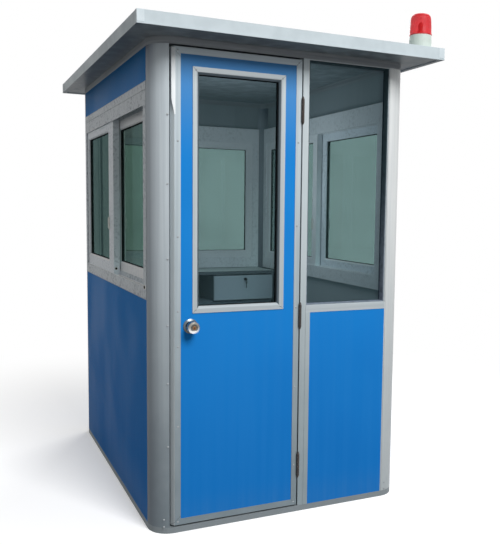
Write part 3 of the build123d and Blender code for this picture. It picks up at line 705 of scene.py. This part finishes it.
DOOR_REBATE = 0.006
DOOR_REVEAL = 0.004
LATCH_STILE_RIVETS = (0.492, 0.856, 1.014, 1.344, 1.760)
HINGE_STILE_RIVETS = (0.236, 0.622, 1.008, 1.394, 1.782)
CORNER_MARGIN = 0.015
BEVEL_FACE = 0.014
SLOPE_START = 0.0225

# Door edge and trim: the bevel tone is painted light, and the slope tone and both foot tones are painted
# shade.
trim_low, trim_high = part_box("door_window_trim")
edge_metal = mitred_aluminium("door_edge_aluminium", door_low, door_high, light=(187, 198, 204),
                              dark=(174, 186, 192), foot=(124, 136, 142),
                              lit_latch_bevel=(BEVEL_FACE, 0.45, (232, 238, 240)))
trim_metal = mitred_aluminium("door_trim_aluminium", trim_low, trim_high, light=(190, 198, 201),
                              dark=(178, 186, 190), foot=(160, 170, 175),
                              shaded_inner_slope=(SLOPE_START, 0.9, (78, 92, 102)))
dress(edge_metal, "door_edge_frame")
dress(trim_metal, "door_window_trim")

mesh = bmesh.new()
latch_face_x = door_low.x + BEVEL_FACE + CORNER_MARGIN
hinge_face_x = door_high.x - CORNER_MARGIN
corner_heights = (door_low.z + CORNER_MARGIN, door_high.z - CORNER_MARGIN)
for face_x, heights in ((latch_face_x, LATCH_STILE_RIVETS), (hinge_face_x, HINGE_STILE_RIVETS)):
    for height in (*heights, *corner_heights):
        rivet(mesh, (face_x, door_low.y, height), (0, -1, 0))
for edge_x in (trim_low.x + CORNER_MARGIN, trim_high.x - CORNER_MARGIN):
    for edge_z in (trim_low.z + CORNER_MARGIN, trim_high.z - CORNER_MARGIN):
        rivet(mesh, (edge_x, trim_low.y, edge_z), (0, -1, 0))
        rivet(mesh, (edge_x, trim_high.y, edge_z), (0, 1, 0))
set_piece("door_rivets", mesh, rivet_metal, "door")

mesh = bmesh.new()
gasket_pair(mesh, *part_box("door_glass"), DOOR_REBATE, DOOR_REVEAL)
set_piece("door_gasket", mesh, black_rubber, "door")


# Latch edge film: a strip of white protective film left on the door's latch edge, standing off
# from the bevel as a flap and torn away below the upper eighth. Its white is also a painted
# highlight along that edge.

FILM_WIDTH = 0.0180
FILM_LAP = 0.0045
FILM_THICKNESS = 0.0005
FILM_FOOT = 1.873
FILM_TEAR = 0.065
FILM_TEAR_SHARE = 0.75
FILM_TOP_MARGIN = 0.006
FILM_COLUMNS = 2
FILM_ROWS = 16

# White film, which also stands in for a painted highlight on the latch edge.
film_and_highlight = even_finish("film_and_highlight", 60.0, ((230, 236, 238), (244, 248, 249)), (0.35, 0.5),
                         stretch=(1.0, 1.0, 0.3), bump=0.0006, specular=0.05)
film_top = door_high.z - FILM_TOP_MARGIN
film_right = door_low.x + BEVEL_FACE + FILM_LAP
centre = Vector((film_right - FILM_WIDTH / 2, door_low.y, (FILM_FOOT + film_top) / 2))
stood_up = Matrix.Translation(centre) @ Matrix.Rotation(math.pi / 2, 4, "X")
half_size = Matrix.Diagonal((FILM_WIDTH / 2, (film_top - FILM_FOOT) / 2, 1.0, 1.0))
mesh = bmesh.new()
bmesh.ops.create_grid(mesh, x_segments=FILM_COLUMNS, y_segments=FILM_ROWS, size=1.0,
                      matrix=stood_up @ half_size)
for corner in mesh.verts:
    torn = max(0.0, (FILM_FOOT + FILM_TEAR - corner.co.z) / FILM_TEAR)
    corner.co.x += torn * FILM_TEAR_SHARE * (film_right - corner.co.x)
grown = bmesh.ops.extrude_face_region(mesh, geom=mesh.faces[:])["geom"]
push(mesh, grown, (0, -FILM_THICKNESS, 0))
set_piece("latch_edge_film_highlight", mesh, film_and_highlight, "door")


# Hinges: three pairs of steel knuckles with tapered pin ends, screwed to the mullion and the
# leaf's edge, and painted a dark bronze that has chipped in places.

hinge_paint = even_finish("hinge_paint", 160.0, ((58, 52, 50), (104, 96, 90)), (0.4, 0.6),
                          band=(0.58, 0.7), metal=0.2, specular=0.3)
dress(hinge_paint, "frame_hinges", "door_hinges")


# Knob lock: two stainless knobs on one spindle through the leaf, each in a dished rose. A brass
# key plug sits in the outer knob, and a turn button in the inner one.

KEY_PLUG_RADIUS = 0.0085
KEY_PLUG_PROUD = 0.0015
KEY_PLUG_STEPS = 28
SLOT_HALF_WIDTH = 0.0009
SLOT_HALF_HEIGHT = 0.0050
SLOT_PROUD = 0.0006
BUTTON_HALF_WIDTH = 0.0030
BUTTON_HALF_HEIGHT = 0.0090
BUTTON_LENGTH = 0.0110
BUTTON_ROUND = 0.0014

knob_low, knob_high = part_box("door_knob")
rose_low, rose_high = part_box("lock_roses")
axis_x, axis_z = (knob_low.x + knob_high.x) / 2, (knob_low.z + knob_high.z) / 2
knob_radius = (knob_high.x - knob_low.x) / 2
rose_radius = (rose_high.x - rose_low.x) / 2


def turned_steel(name, radius, dish, upper, lower):
    """Polished steel with its upper and lower sides toned apart as painted reflection, and painted shade in
    the dish round its axis.
    """
    material, tree, place = start_finish(name)
    axes = along_axes(tree, place)
    across = combine(tree, "SUBTRACT", axes["X"], axis_x)
    rise = combine(tree, "SUBTRACT", axes["Z"], axis_z)
    squares = combine(tree, "ADD", combine(tree, "POWER", across, 2.0), combine(tree, "POWER", rise, 2.0))
    away = combine(tree, "SQRT", squares)
    brush = grain(tree, place, 220.0, stretch=(1.0, 5.0, 1.0))
    # Painted reflection: the upper and lower sides are toned apart.
    colour = tint(tree, ramp(tree, rise, -0.7 * radius, 0.3 * radius), lower, upper)
    # Painted shade in the dish round the axis. It is left off low on the rim, where the lower tone shows as
    # a painted highlight.
    dish_shade = ramp(tree, away, dish * radius, 0.8 * dish * radius, 0.0, 0.85)
    dish_shade = both(tree, dish_shade, ramp(tree, rise, -0.6 * radius, -0.35 * radius))
    colour = tint(tree, dish_shade, colour, (62, 60, 58))
    brushed = ramp(tree, brush, *UPPER_GRAIN, 0.0, 0.35)
    colour = tint(tree, brushed, colour, (128, 127, 124))
    end_finish(tree, colour, gloss(tree, brush, 0.26, 0.38), metal=1.0)
    return material


# Knob: light below as a painted highlight. Rose: darker below as painted shade.
knob_steel = turned_steel("stainless_knob", knob_radius, 0.72, upper=(150, 147, 140), lower=(252, 252, 250))
rose_steel = turned_steel("stainless_rose", rose_radius, 0.80, upper=(98, 108, 116), lower=(70, 70, 68))
dress(knob_steel, "door_knob")
dress(rose_steel, "lock_roses")

brass = even_finish("key_plug_brass", 500.0, ((96, 66, 44), (144, 104, 70)), (0.3, 0.5), metal=0.6)
mesh = bmesh.new()
turned(mesh, (axis_x, knob_low.y, axis_z), (0, -1, 0), (
    (0.0, KEY_PLUG_PROUD),
    (0.8 * KEY_PLUG_RADIUS, KEY_PLUG_PROUD),
    (KEY_PLUG_RADIUS, 0.5 * KEY_PLUG_PROUD),
    (KEY_PLUG_RADIUS, -KEY_PLUG_PROUD),
    (0.0, -KEY_PLUG_PROUD),
), KEY_PLUG_STEPS)
set_piece("key_plug", mesh, brass, "knob")

# Key slot: a black block proud of the plug, painted shade for the keyway.
mesh = bmesh.new()
slot_face = Vector((axis_x, knob_low.y - KEY_PLUG_PROUD, axis_z))
slot_low = slot_face - Vector((SLOT_HALF_WIDTH, SLOT_PROUD, SLOT_HALF_HEIGHT))
slot_high = slot_face + Vector((SLOT_HALF_WIDTH, KEY_PLUG_PROUD / 2, SLOT_HALF_HEIGHT))
soft_block(mesh, slot_low, slot_high, SLOT_HALF_WIDTH / 3)
set_piece("key_slot", mesh, black_rubber, "knob")

mesh = bmesh.new()
button_face = Vector((axis_x, knob_high.y, axis_z))
button_low = button_face - Vector((BUTTON_HALF_WIDTH, BUTTON_HALF_WIDTH, BUTTON_HALF_HEIGHT))
button_high = button_face + Vector((BUTTON_HALF_WIDTH, BUTTON_LENGTH, BUTTON_HALF_HEIGHT))
soft_block(mesh, button_low, button_high, BUTTON_ROUND)
set_piece("turn_button", mesh, knob_steel, "knob")


# Door brush: a strip of dark nylon pile in a groove under the leaf, which closes the gap over the
# base rail without rubbing on it.

BRUSH_GAP = 0.0015
BRUSH_DEPTH = 0.014
BRUSH_END = 0.018

pile = even_finish("brush_pile", 1.0, ((20, 21, 23), (52, 54, 56)), (0.7, 0.95),
                   stretch=(900.0, 900.0, 30.0), bump=0.0008)
mesh = bmesh.new()
base_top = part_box("base_frame")[1].z
leaf_middle = (door_low.y + door_high.y) / 2
soft_block(mesh, (door_low.x + BRUSH_END, leaf_middle - BRUSH_DEPTH / 2, base_top + BRUSH_GAP),
           (door_high.x - BRUSH_END, leaf_middle + BRUSH_DEPTH / 2, door_low.z + BRUSH_GAP), BRUSH_GAP)
set_piece("door_brush", mesh, pile, "door")


# Desk: grey laminated board, a top on a carcass of two ends, a shelf and a divider, with one
# drawer. The front edges of the boards are banded in a strip of their own tone.

BAND_DEPTH = 0.0015
FIBRE_LIGHTENING = 14
CLOUD_DARKENING = 18
DESK_TONES = {
    "desk_top": ((186, 194, 192), (96, 106, 110)),
    "desk_carcass": ((120, 130, 138), (104, 114, 120)),
    "desk_drawer": ((172, 182, 188), (182, 195, 201)),
}


def laminate(name, front, face, band):
    """Laminated board with a band on the edges that face the front."""
    material, tree, place = start_finish(name)
    fibre = grain(tree, place, 30.0, stretch=(0.4, 1.0, 1.0))
    cloudy = ramp(tree, grain(tree, place, 4.0), *UPPER_GRAIN, 0.0, 0.25)
    colour = tint(tree, fibre, face, tuple(value + FIBRE_LIGHTENING for value in face))
    colour = tint(tree, cloudy, colour, tuple(value - CLOUD_DARKENING for value in face))
    banded = combine(tree, "LESS_THAN", along_axes(tree, place)["Y"], front + BAND_DEPTH)
    colour = tint(tree, banded, colour, band)
    end_finish(tree, colour, gloss(tree, fibre, 0.4, 0.55), bumps=relief(tree, fibre, 0.0003))
    return material


for board, (face, band) in DESK_TONES.items():
    dress(laminate(f"{board}_laminate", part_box(board)[0].y, face, band), board)


# Drawer lock: a dark cam lock with its key left in, and a second key that hangs from the first
# one's bow on a split ring.

RING_RADIUS = 0.010
RING_STEPS = 32
RING_WIRE = 0.0009
WIRE_STEPS = 8
KEY_BOW_RADIUS = 0.011
SPARE_BOW_RADIUS = 0.010
SPARE_BOW_STEPS = 24
SPARE_HOLE_RADIUS = 0.0035
SPARE_THICKNESS = 0.0022
BLADE_HALF_WIDTH = 0.0034
BLADE_LENGTH = 0.026

key_steel = even_finish("key_steel", 260.0, ((30, 32, 34), (84, 86, 88)), (0.35, 0.55), band=(0.5, 0.7),
                        metal=0.6)
dress(key_steel, "drawer_lock")

lock_low, lock_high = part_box("drawer_lock")
bow_hole = (lock_low + lock_high) / 2
bow_hole.y = lock_low.y + KEY_BOW_RADIUS
ring_centre = bow_hole - Vector((0, 0, RING_RADIUS))
mesh = bmesh.new()
lift = Matrix.Translation(bow_hole) @ Matrix.Rotation(math.pi / 2, 4, "Y")
wire = bmesh.ops.create_circle(mesh, segments=WIRE_STEPS, radius=RING_WIRE, matrix=lift)["verts"]
bmesh.ops.spin(mesh, geom=wire + edges_of(wire), cent=ring_centre, axis=(0, 1, 0), angle=math.tau,
               steps=RING_STEPS, use_merge=True)
set_piece("key_ring", mesh, key_steel, "drawer")

mesh = bmesh.new()
bow_centre = ring_centre - Vector((0, 0, RING_RADIUS + SPARE_HOLE_RADIUS - RING_WIRE))
half_thickness = SPARE_THICKNESS / 2
turned(mesh, bow_centre, (1, 0, 0), (
    (SPARE_HOLE_RADIUS, -half_thickness),
    (SPARE_BOW_RADIUS, -half_thickness),
    (SPARE_BOW_RADIUS, half_thickness),
    (SPARE_HOLE_RADIUS, half_thickness),
    (SPARE_HOLE_RADIUS, -half_thickness),
), SPARE_BOW_STEPS)
blade_top = bow_centre - Vector((0, 0, 0.9 * SPARE_BOW_RADIUS))
blade_low = blade_top - Vector((half_thickness, BLADE_HALF_WIDTH, BLADE_LENGTH))
blade_high = blade_top + Vector((half_thickness, BLADE_HALF_WIDTH, 0))
soft_block(mesh, blade_low, blade_high, SPARE_THICKNESS / 5)
set_piece("spare_key", mesh, key_steel, "drawer")


# Top rail and roof: an aluminium ring over posts and panels carries a flat insulated roof board,
# pale on top and painted grey underneath as shade, closed round its edge by a pale folded channel.

SKIN_DEPTH = 0.0006
PAINTED_SHADE_GREY = (122, 131, 137)
edge_low, edge_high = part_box("roof_edge")


def coated_sheet(name, pale, worn, underside):
    """Coil-coated roof sheet: pale and faintly patchy in the open, painted grey as shade on what faces the
    ground.
    """
    material, tree, place = start_finish(name)
    patches = grain(tree, place, 14.0, detail=5.0)
    ripples = grain(tree, place, 1.0, stretch=(3.0, 3.0, 20.0))
    open_side = tint(tree, ramp(tree, patches, 0.35, 0.7), pale, worn)
    patchy = ramp(tree, patches, 0.35, 0.7, 0.0, 0.3)
    # Painted shade on the faces at the sheet's lowest level, which look at the ground.
    under_side = tint(tree, patchy, PAINTED_SHADE_GREY, worn)
    below = combine(tree, "LESS_THAN", along_axes(tree, place)["Z"], underside + SKIN_DEPTH)
    colour = tint(tree, below, open_side, under_side)
    end_finish(tree, colour, gloss(tree, patches, 0.32, 0.46), specular=0.04,
               bumps=relief(tree, ripples, 0.0006))
    return material


# The top rail's foot tone is painted shade.
top_rail_metal = mill_aluminium("top_rail_aluminium", DRAWN_LEVEL, light=(160, 165, 169),
                                dark=(140, 145, 150), foot=(140, 145, 150))
roof_sheet = coated_sheet("roof_sheet", (206, 216, 221), (198, 208, 213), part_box("roof_panel")[0].z)
edge_sheet = coated_sheet("roof_edge_sheet", (196, 207, 212), (189, 200, 205), edge_low.z)
dress(top_rail_metal, "top_rail")
dress(roof_sheet, "roof_panel")
dress(edge_sheet, "roof_edge")


# Roof corner straps: folded strips of the same pale sheet that cap the channel's four corners
# between the hem and the roof's top, bonded on.

STRAP_REACH = 0.030
STRAP_THICKNESS = 0.0010
STRAP_FOOT = 0.0085
HEM_PROUD = 0.0015

strap_sheet = coated_sheet("strap_sheet", (212, 222, 227), (200, 211, 216), edge_low.z)
fold = Vector((edge_high.x - HEM_PROUD, edge_high.y - HEM_PROUD, edge_low.z + STRAP_FOOT))
mesh = bmesh.new()
reaches = (Vector((-STRAP_REACH, 0, 0)), Vector((0, 0, 0)), Vector((0, -STRAP_REACH, 0)))
points = [mesh.verts.new(fold + reach) for reach in reaches]
legs = [mesh.edges.new(pair) for pair in zip(points, points[1:])]
grown = bmesh.ops.extrude_edge_only(mesh, edges=legs)["geom"]
push(mesh, grown, (0, 0, edge_high.z - fold.z))
grown = bmesh.ops.extrude_face_region(mesh, geom=mesh.faces[:])["geom"]
push(mesh, grown, (STRAP_THICKNESS, STRAP_THICKNESS, 0))
for axis in ("X", "Y"):
    bmesh.ops.mirror(mesh, geom=mesh.verts[:] + mesh.edges[:] + mesh.faces[:], axis=axis)
set_piece("roof_corner_straps", mesh, strap_sheet, "booth")


# Roof screws: a row of low domed heads along the channel's top flange, all round, which fix the
# channel to the roof board. They have the shape of the blind rivets.

ROOF_SCREW_SPACING = 0.30
ROOF_SCREW_INSET = 0.012

mesh = bmesh.new()
for half, across, turn in ((edge_high.x, edge_high.y, False), (edge_high.y, edge_high.x, True)):
    count = int(2 * half / ROOF_SCREW_SPACING)
    for number in range(count):
        along = (number + 0.5) * 2 * half / count - half
        for side in (-1, 1):
            inset = side * (across - ROOF_SCREW_INSET)
            place = (inset, along) if turn else (along, inset)
            rivet(mesh, (*place, edge_high.z), (0, 0, 1))
set_piece("roof_screws", mesh, rivet_metal, "booth")


# Beacon base: a white moulded drum screwed to the roof's corner, with fine grip ribs moulded
# round the lower part of its wall.

RIB_COUNT = 36
RIB_HALF_DEPTH = 0.0012
RIB_HALF_WIDTH = 0.0016
RIB_FOOT = 0.006
RIB_TOP = 0.050
base_low, base_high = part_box("beacon_base")
beacon_axis = (base_low + base_high) / 2
base_radius = (base_high.x - base_low.x) / 2

beacon_white = even_finish("beacon_white", 40.0, ((192, 205, 197), (206, 216, 211)), (0.3, 0.45),
                           specular=0.2)
dress(beacon_white, "beacon_base")
mesh = bmesh.new()
rib_middle = Vector((beacon_axis.x, beacon_axis.y, base_low.z + (RIB_FOOT + RIB_TOP) / 2))
rib_size = Matrix.Diagonal((2 * RIB_HALF_DEPTH, 2 * RIB_HALF_WIDTH, RIB_TOP - RIB_FOOT, 1.0))
rib = Matrix.Translation((base_radius - RIB_HALF_DEPTH, 0, 0)) @ rib_size
for number in range(RIB_COUNT):
    turn = Matrix.Rotation(number * math.tau / RIB_COUNT, 4, "Z")
    bmesh.ops.create_cube(mesh, size=1.0, matrix=Matrix.Translation(rib_middle) @ turn @ rib)
bmesh.ops.bevel(mesh, geom=mesh.edges[:], offset=RIB_HALF_DEPTH / 3, segments=1, profile=0.5,
                affect="EDGES", material=-1)
set_piece("beacon_ribs", mesh, beacon_white, "booth")


# Beacon lamp: a bulb in a brown moulded socket with a wide foot, standing on the base under the
# dome, where it shows as a darker core through the red plastic.

SOCKET_RADIUS = 0.015
SOCKET_HEIGHT = 0.020
BULB_RADIUS = 0.013
BULB_HEIGHT = 0.040
LAMP_STEPS = 28

lamp_brown = even_finish("lamp_socket", 120.0, ((150, 62, 38), (206, 92, 58)), (0.5, 0.7))
mesh = bmesh.new()
turned(mesh, (beacon_axis.x, beacon_axis.y, base_high.z), (0, 0, 1), (
    (0.0, 0.0),
    (1.6 * SOCKET_RADIUS, 0.0),
    (1.5 * SOCKET_RADIUS, 0.25 * SOCKET_HEIGHT),
    (SOCKET_RADIUS, 0.35 * SOCKET_HEIGHT),
    (SOCKET_RADIUS, SOCKET_HEIGHT),
    (0.7 * BULB_RADIUS, SOCKET_HEIGHT),
    (BULB_RADIUS, SOCKET_HEIGHT + 0.45 * BULB_HEIGHT),
    (0.85 * BULB_RADIUS, SOCKET_HEIGHT + 0.75 * BULB_HEIGHT),
    (0.45 * BULB_RADIUS, SOCKET_HEIGHT + 0.95 * BULB_HEIGHT),
    (0.0, SOCKET_HEIGHT + BULB_HEIGHT),
), LAMP_STEPS)
set_piece("beacon_lamp", mesh, lamp_brown, "booth")


# Beacon dome: one moulding of translucent red plastic with a bead at its rim, upright flutes in
# its wall and a rounded crown, seated on the base.

DOME_STEPS = 144
DOME_FLUTES = 36
DOME_FLUTE_SHARE = 0.012
DOME_FLUTE_TOP = 0.9
DOME_WALL = 0.0025
DOME_RIM_HEIGHT = 0.007
DOME_RIM_TUCK = 0.002
DOME_RIM_ROUND = 0.0015
DOME_RIM_STEP = 0.001
DOME_CREASE = 50.0

beacon_red, tree, place = start_finish("beacon_red")
marks = grain(tree, place, 30.0)
plastic = add(tree, "BsdfPrincipled", {
    "Base Color": tint(tree, marks, (214, 32, 44), (230, 52, 62)),
    "Roughness": gloss(tree, marks, 0.24, 0.36),
    "Specular IOR Level": 0.2,
})
through = add(tree, "BsdfTransparent", {"Color": display(252, 206, 208)})
slant = add(tree, "LayerWeight", {"Blend": 0.5}).outputs["Facing"]
body = ramp(tree, slant, 0.5, 1.0, 0.26, 0.8)
surface = add(tree, "MixShader", {0: body, 1: through.outputs["BSDF"], 2: plastic.outputs["BSDF"]})
add(tree, "OutputMaterial", {"Surface": surface.outputs["Shader"]})

dome_low, dome_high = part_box("beacon_dome")
rim_radius = (dome_high.x - dome_low.x) / 2
dome_height = dome_high.z - dome_low.z
mesh = bmesh.new()
turned(mesh, (beacon_axis.x, beacon_axis.y, dome_low.z), (0, 0, 1), (
    (rim_radius - DOME_RIM_TUCK, 0.0),
    (rim_radius, DOME_RIM_ROUND),
    (rim_radius, DOME_RIM_HEIGHT - DOME_RIM_ROUND),
    (rim_radius - DOME_RIM_ROUND, DOME_RIM_HEIGHT),
    (0.965 * rim_radius, DOME_RIM_HEIGHT + DOME_RIM_STEP),
    (0.945 * rim_radius, 0.45 * dome_height),
    (0.915 * rim_radius, 0.72 * dome_height),
    (0.885 * rim_radius, 0.82 * dome_height),
    (0.825 * rim_radius, 0.895 * dome_height),
    (0.72 * rim_radius, 0.948 * dome_height),
    (0.55 * rim_radius, 0.982 * dome_height),
    (0.30 * rim_radius, 0.997 * dome_height),
    (0.0, dome_height),
), DOME_STEPS)
close_seams(mesh)
for corner in mesh.verts:
    rise = corner.co.z - dome_low.z
    offset = Vector((corner.co.x - beacon_axis.x, corner.co.y - beacon_axis.y, 0.0))
    if DOME_RIM_HEIGHT < rise < DOME_FLUTE_TOP * dome_height:
        wave = 0.5 + 0.5 * math.cos(DOME_FLUTES * math.atan2(offset.y, offset.x))
        corner.co -= offset * DOME_FLUTE_SHARE * wave
bmesh.ops.solidify(mesh, geom=mesh.faces[:], thickness=DOME_WALL)
dome = set_piece("beacon_lens", mesh, beacon_red, "booth", crease=DOME_CREASE)
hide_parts("beacon_dome")


# Studio: a plain white floor that keeps the booth's shadow, a white surround, one large soft lamp
# from the front, a weak one from behind, a faint fill inside, and the photograph's camera.

FLOOR_SIZE = 60.0
FLOOR_TONES = (0.84, 0.86)
FLOOR_LIFT = 0.30
FLOOR_BOUNCE = 0.14
FLOOR_FADE = (1.6, 3.6)
SURROUND_LIGHT = 0.36
LAMP_SIZE = 5.0
KEY_LAMP_PLACE = (1.6, -9.6, 9.0)
KEY_LAMP_TARGET = (0.0, 0.0, 1.1)
KEY_LAMP_POWER = 1420.0
BACK_LAMP_PLACE = (5.5, 7.0, 6.0)
BACK_LAMP_TARGET = (0.0, 0.0, 1.2)
BACK_LAMP_POWER = 420.0
FILL_PLACE = (0.0, -0.1, 1.7)
FILL_RADIUS = 0.3
FILL_POWER = 6.0


def seen_directly(tree):
    """1 for what the camera, a mirror or a pane shows, 0 for the light that falls on the pieces."""
    path = add(tree, "LightPath").outputs
    through = combine(tree, "MAXIMUM", path["Is Glossy Ray"], path["Is Transmission Ray"])
    return combine(tree, "MAXIMUM", path["Is Camera Ray"], through)


studio_floor, tree, place = start_finish("studio_floor")
seen = seen_directly(tree)
pale = ramp(tree, grain(tree, place, 0.6), 0.0, 1.0, *FLOOR_TONES)
away = add(tree, "VectorMath", {0: place}, operation="LENGTH").outputs["Value"]
far = both(tree, seen, ramp(tree, away, *FLOOR_FADE))
shown = ramp(tree, seen, 0.0, 1.0, FLOOR_BOUNCE, pale)
matt = add(tree, "BsdfDiffuse", {"Color": shown}).outputs["BSDF"]
lift = add(tree, "Emission", {"Strength": both(tree, seen, FLOOR_LIFT)}).outputs["Emission"]
near_floor = add(tree, "AddShader", {0: matt, 1: lift}).outputs["Shader"]
white = add(tree, "Emission", {"Strength": 1.0}).outputs["Emission"]
surface = add(tree, "MixShader", {0: far, 1: near_floor, 2: white}).outputs["Shader"]
add(tree, "OutputMaterial", {"Surface": surface})

mesh = bmesh.new()
bmesh.ops.create_grid(mesh, x_segments=1, y_segments=1, size=FLOOR_SIZE / 2,
                      matrix=Matrix.Translation((0, 0, cad_box[0].z)))
data = bpy.data.meshes.new("studio_floor")
mesh.to_mesh(data)
mesh.free()
data.materials.append(studio_floor)
floor = bpy.data.objects.new("studio_floor", data)
bpy.context.scene.collection.objects.link(floor)

world = bpy.data.worlds.new("studio_surround")
bpy.context.scene.world = world
world.use_nodes = True
tree = world.node_tree
tree.nodes.clear()
strength = ramp(tree, seen_directly(tree), 0.0, 1.0, SURROUND_LIGHT, 1.0)
surround = add(tree, "Background", {"Color": (1.0, 1.0, 1.0, 1.0), "Strength": strength})
add(tree, "OutputWorld", {"Surface": surround.outputs["Background"]})


def hang(name, device, place):
    """Puts a lamp or the camera into the scene at a place."""
    holder = bpy.data.objects.new(name, device)
    bpy.context.scene.collection.objects.link(holder)
    holder.location = place
    return holder


def soft_lamp(name, place, target, power):
    """A square softbox that points at a target."""
    lamp = bpy.data.lights.new(name, "AREA")
    lamp.size = LAMP_SIZE
    lamp.energy = power
    holder = hang(name, lamp, place)
    holder.rotation_euler = (Vector(target) - Vector(place)).to_track_quat("-Z", "Y").to_euler()


soft_lamp("key_lamp", KEY_LAMP_PLACE, KEY_LAMP_TARGET, KEY_LAMP_POWER)
soft_lamp("back_lamp", BACK_LAMP_PLACE, BACK_LAMP_TARGET, BACK_LAMP_POWER)
fill = bpy.data.lights.new("inside_fill", "POINT")
fill.shadow_soft_size = FILL_RADIUS
fill.energy = FILL_POWER
hang("inside_fill", fill, FILL_PLACE).visible_glossy = False

IMAGE_WIDTH = 500
IMAGE_HEIGHT = 545
CAMERA_PLACE = (-1.4352, -4.0260, 1.4782)
CAMERA_YAW = math.radians(25.689)
CAMERA_PITCH = math.radians(5.234)
CAMERA_ROLL = math.radians(0.870)
FOCAL_PIXELS = 734.79
CENTRE_PIXEL = (302.085, 275.47)
SENSOR = 36.0

lens = bpy.data.cameras.new("camera")
lens.sensor_width = SENSOR
lens.lens = FOCAL_PIXELS * SENSOR / IMAGE_HEIGHT
lens.shift_x = (IMAGE_WIDTH / 2 - CENTRE_PIXEL[0]) / IMAGE_HEIGHT
lens.shift_y = (CENTRE_PIXEL[1] - IMAGE_HEIGHT / 2) / IMAGE_HEIGHT
camera = hang("camera", lens, CAMERA_PLACE)
heading = Matrix.Rotation(-CAMERA_YAW, 3, "Z") @ Matrix.Rotation(math.pi / 2 - CAMERA_PITCH, 3, "X")
camera.rotation_euler = (heading @ Matrix.Rotation(CAMERA_ROLL, 3, "Z")).to_euler()
bpy.context.scene.camera = camera
bpy.context.scene.view_settings.view_transform = "Standard"
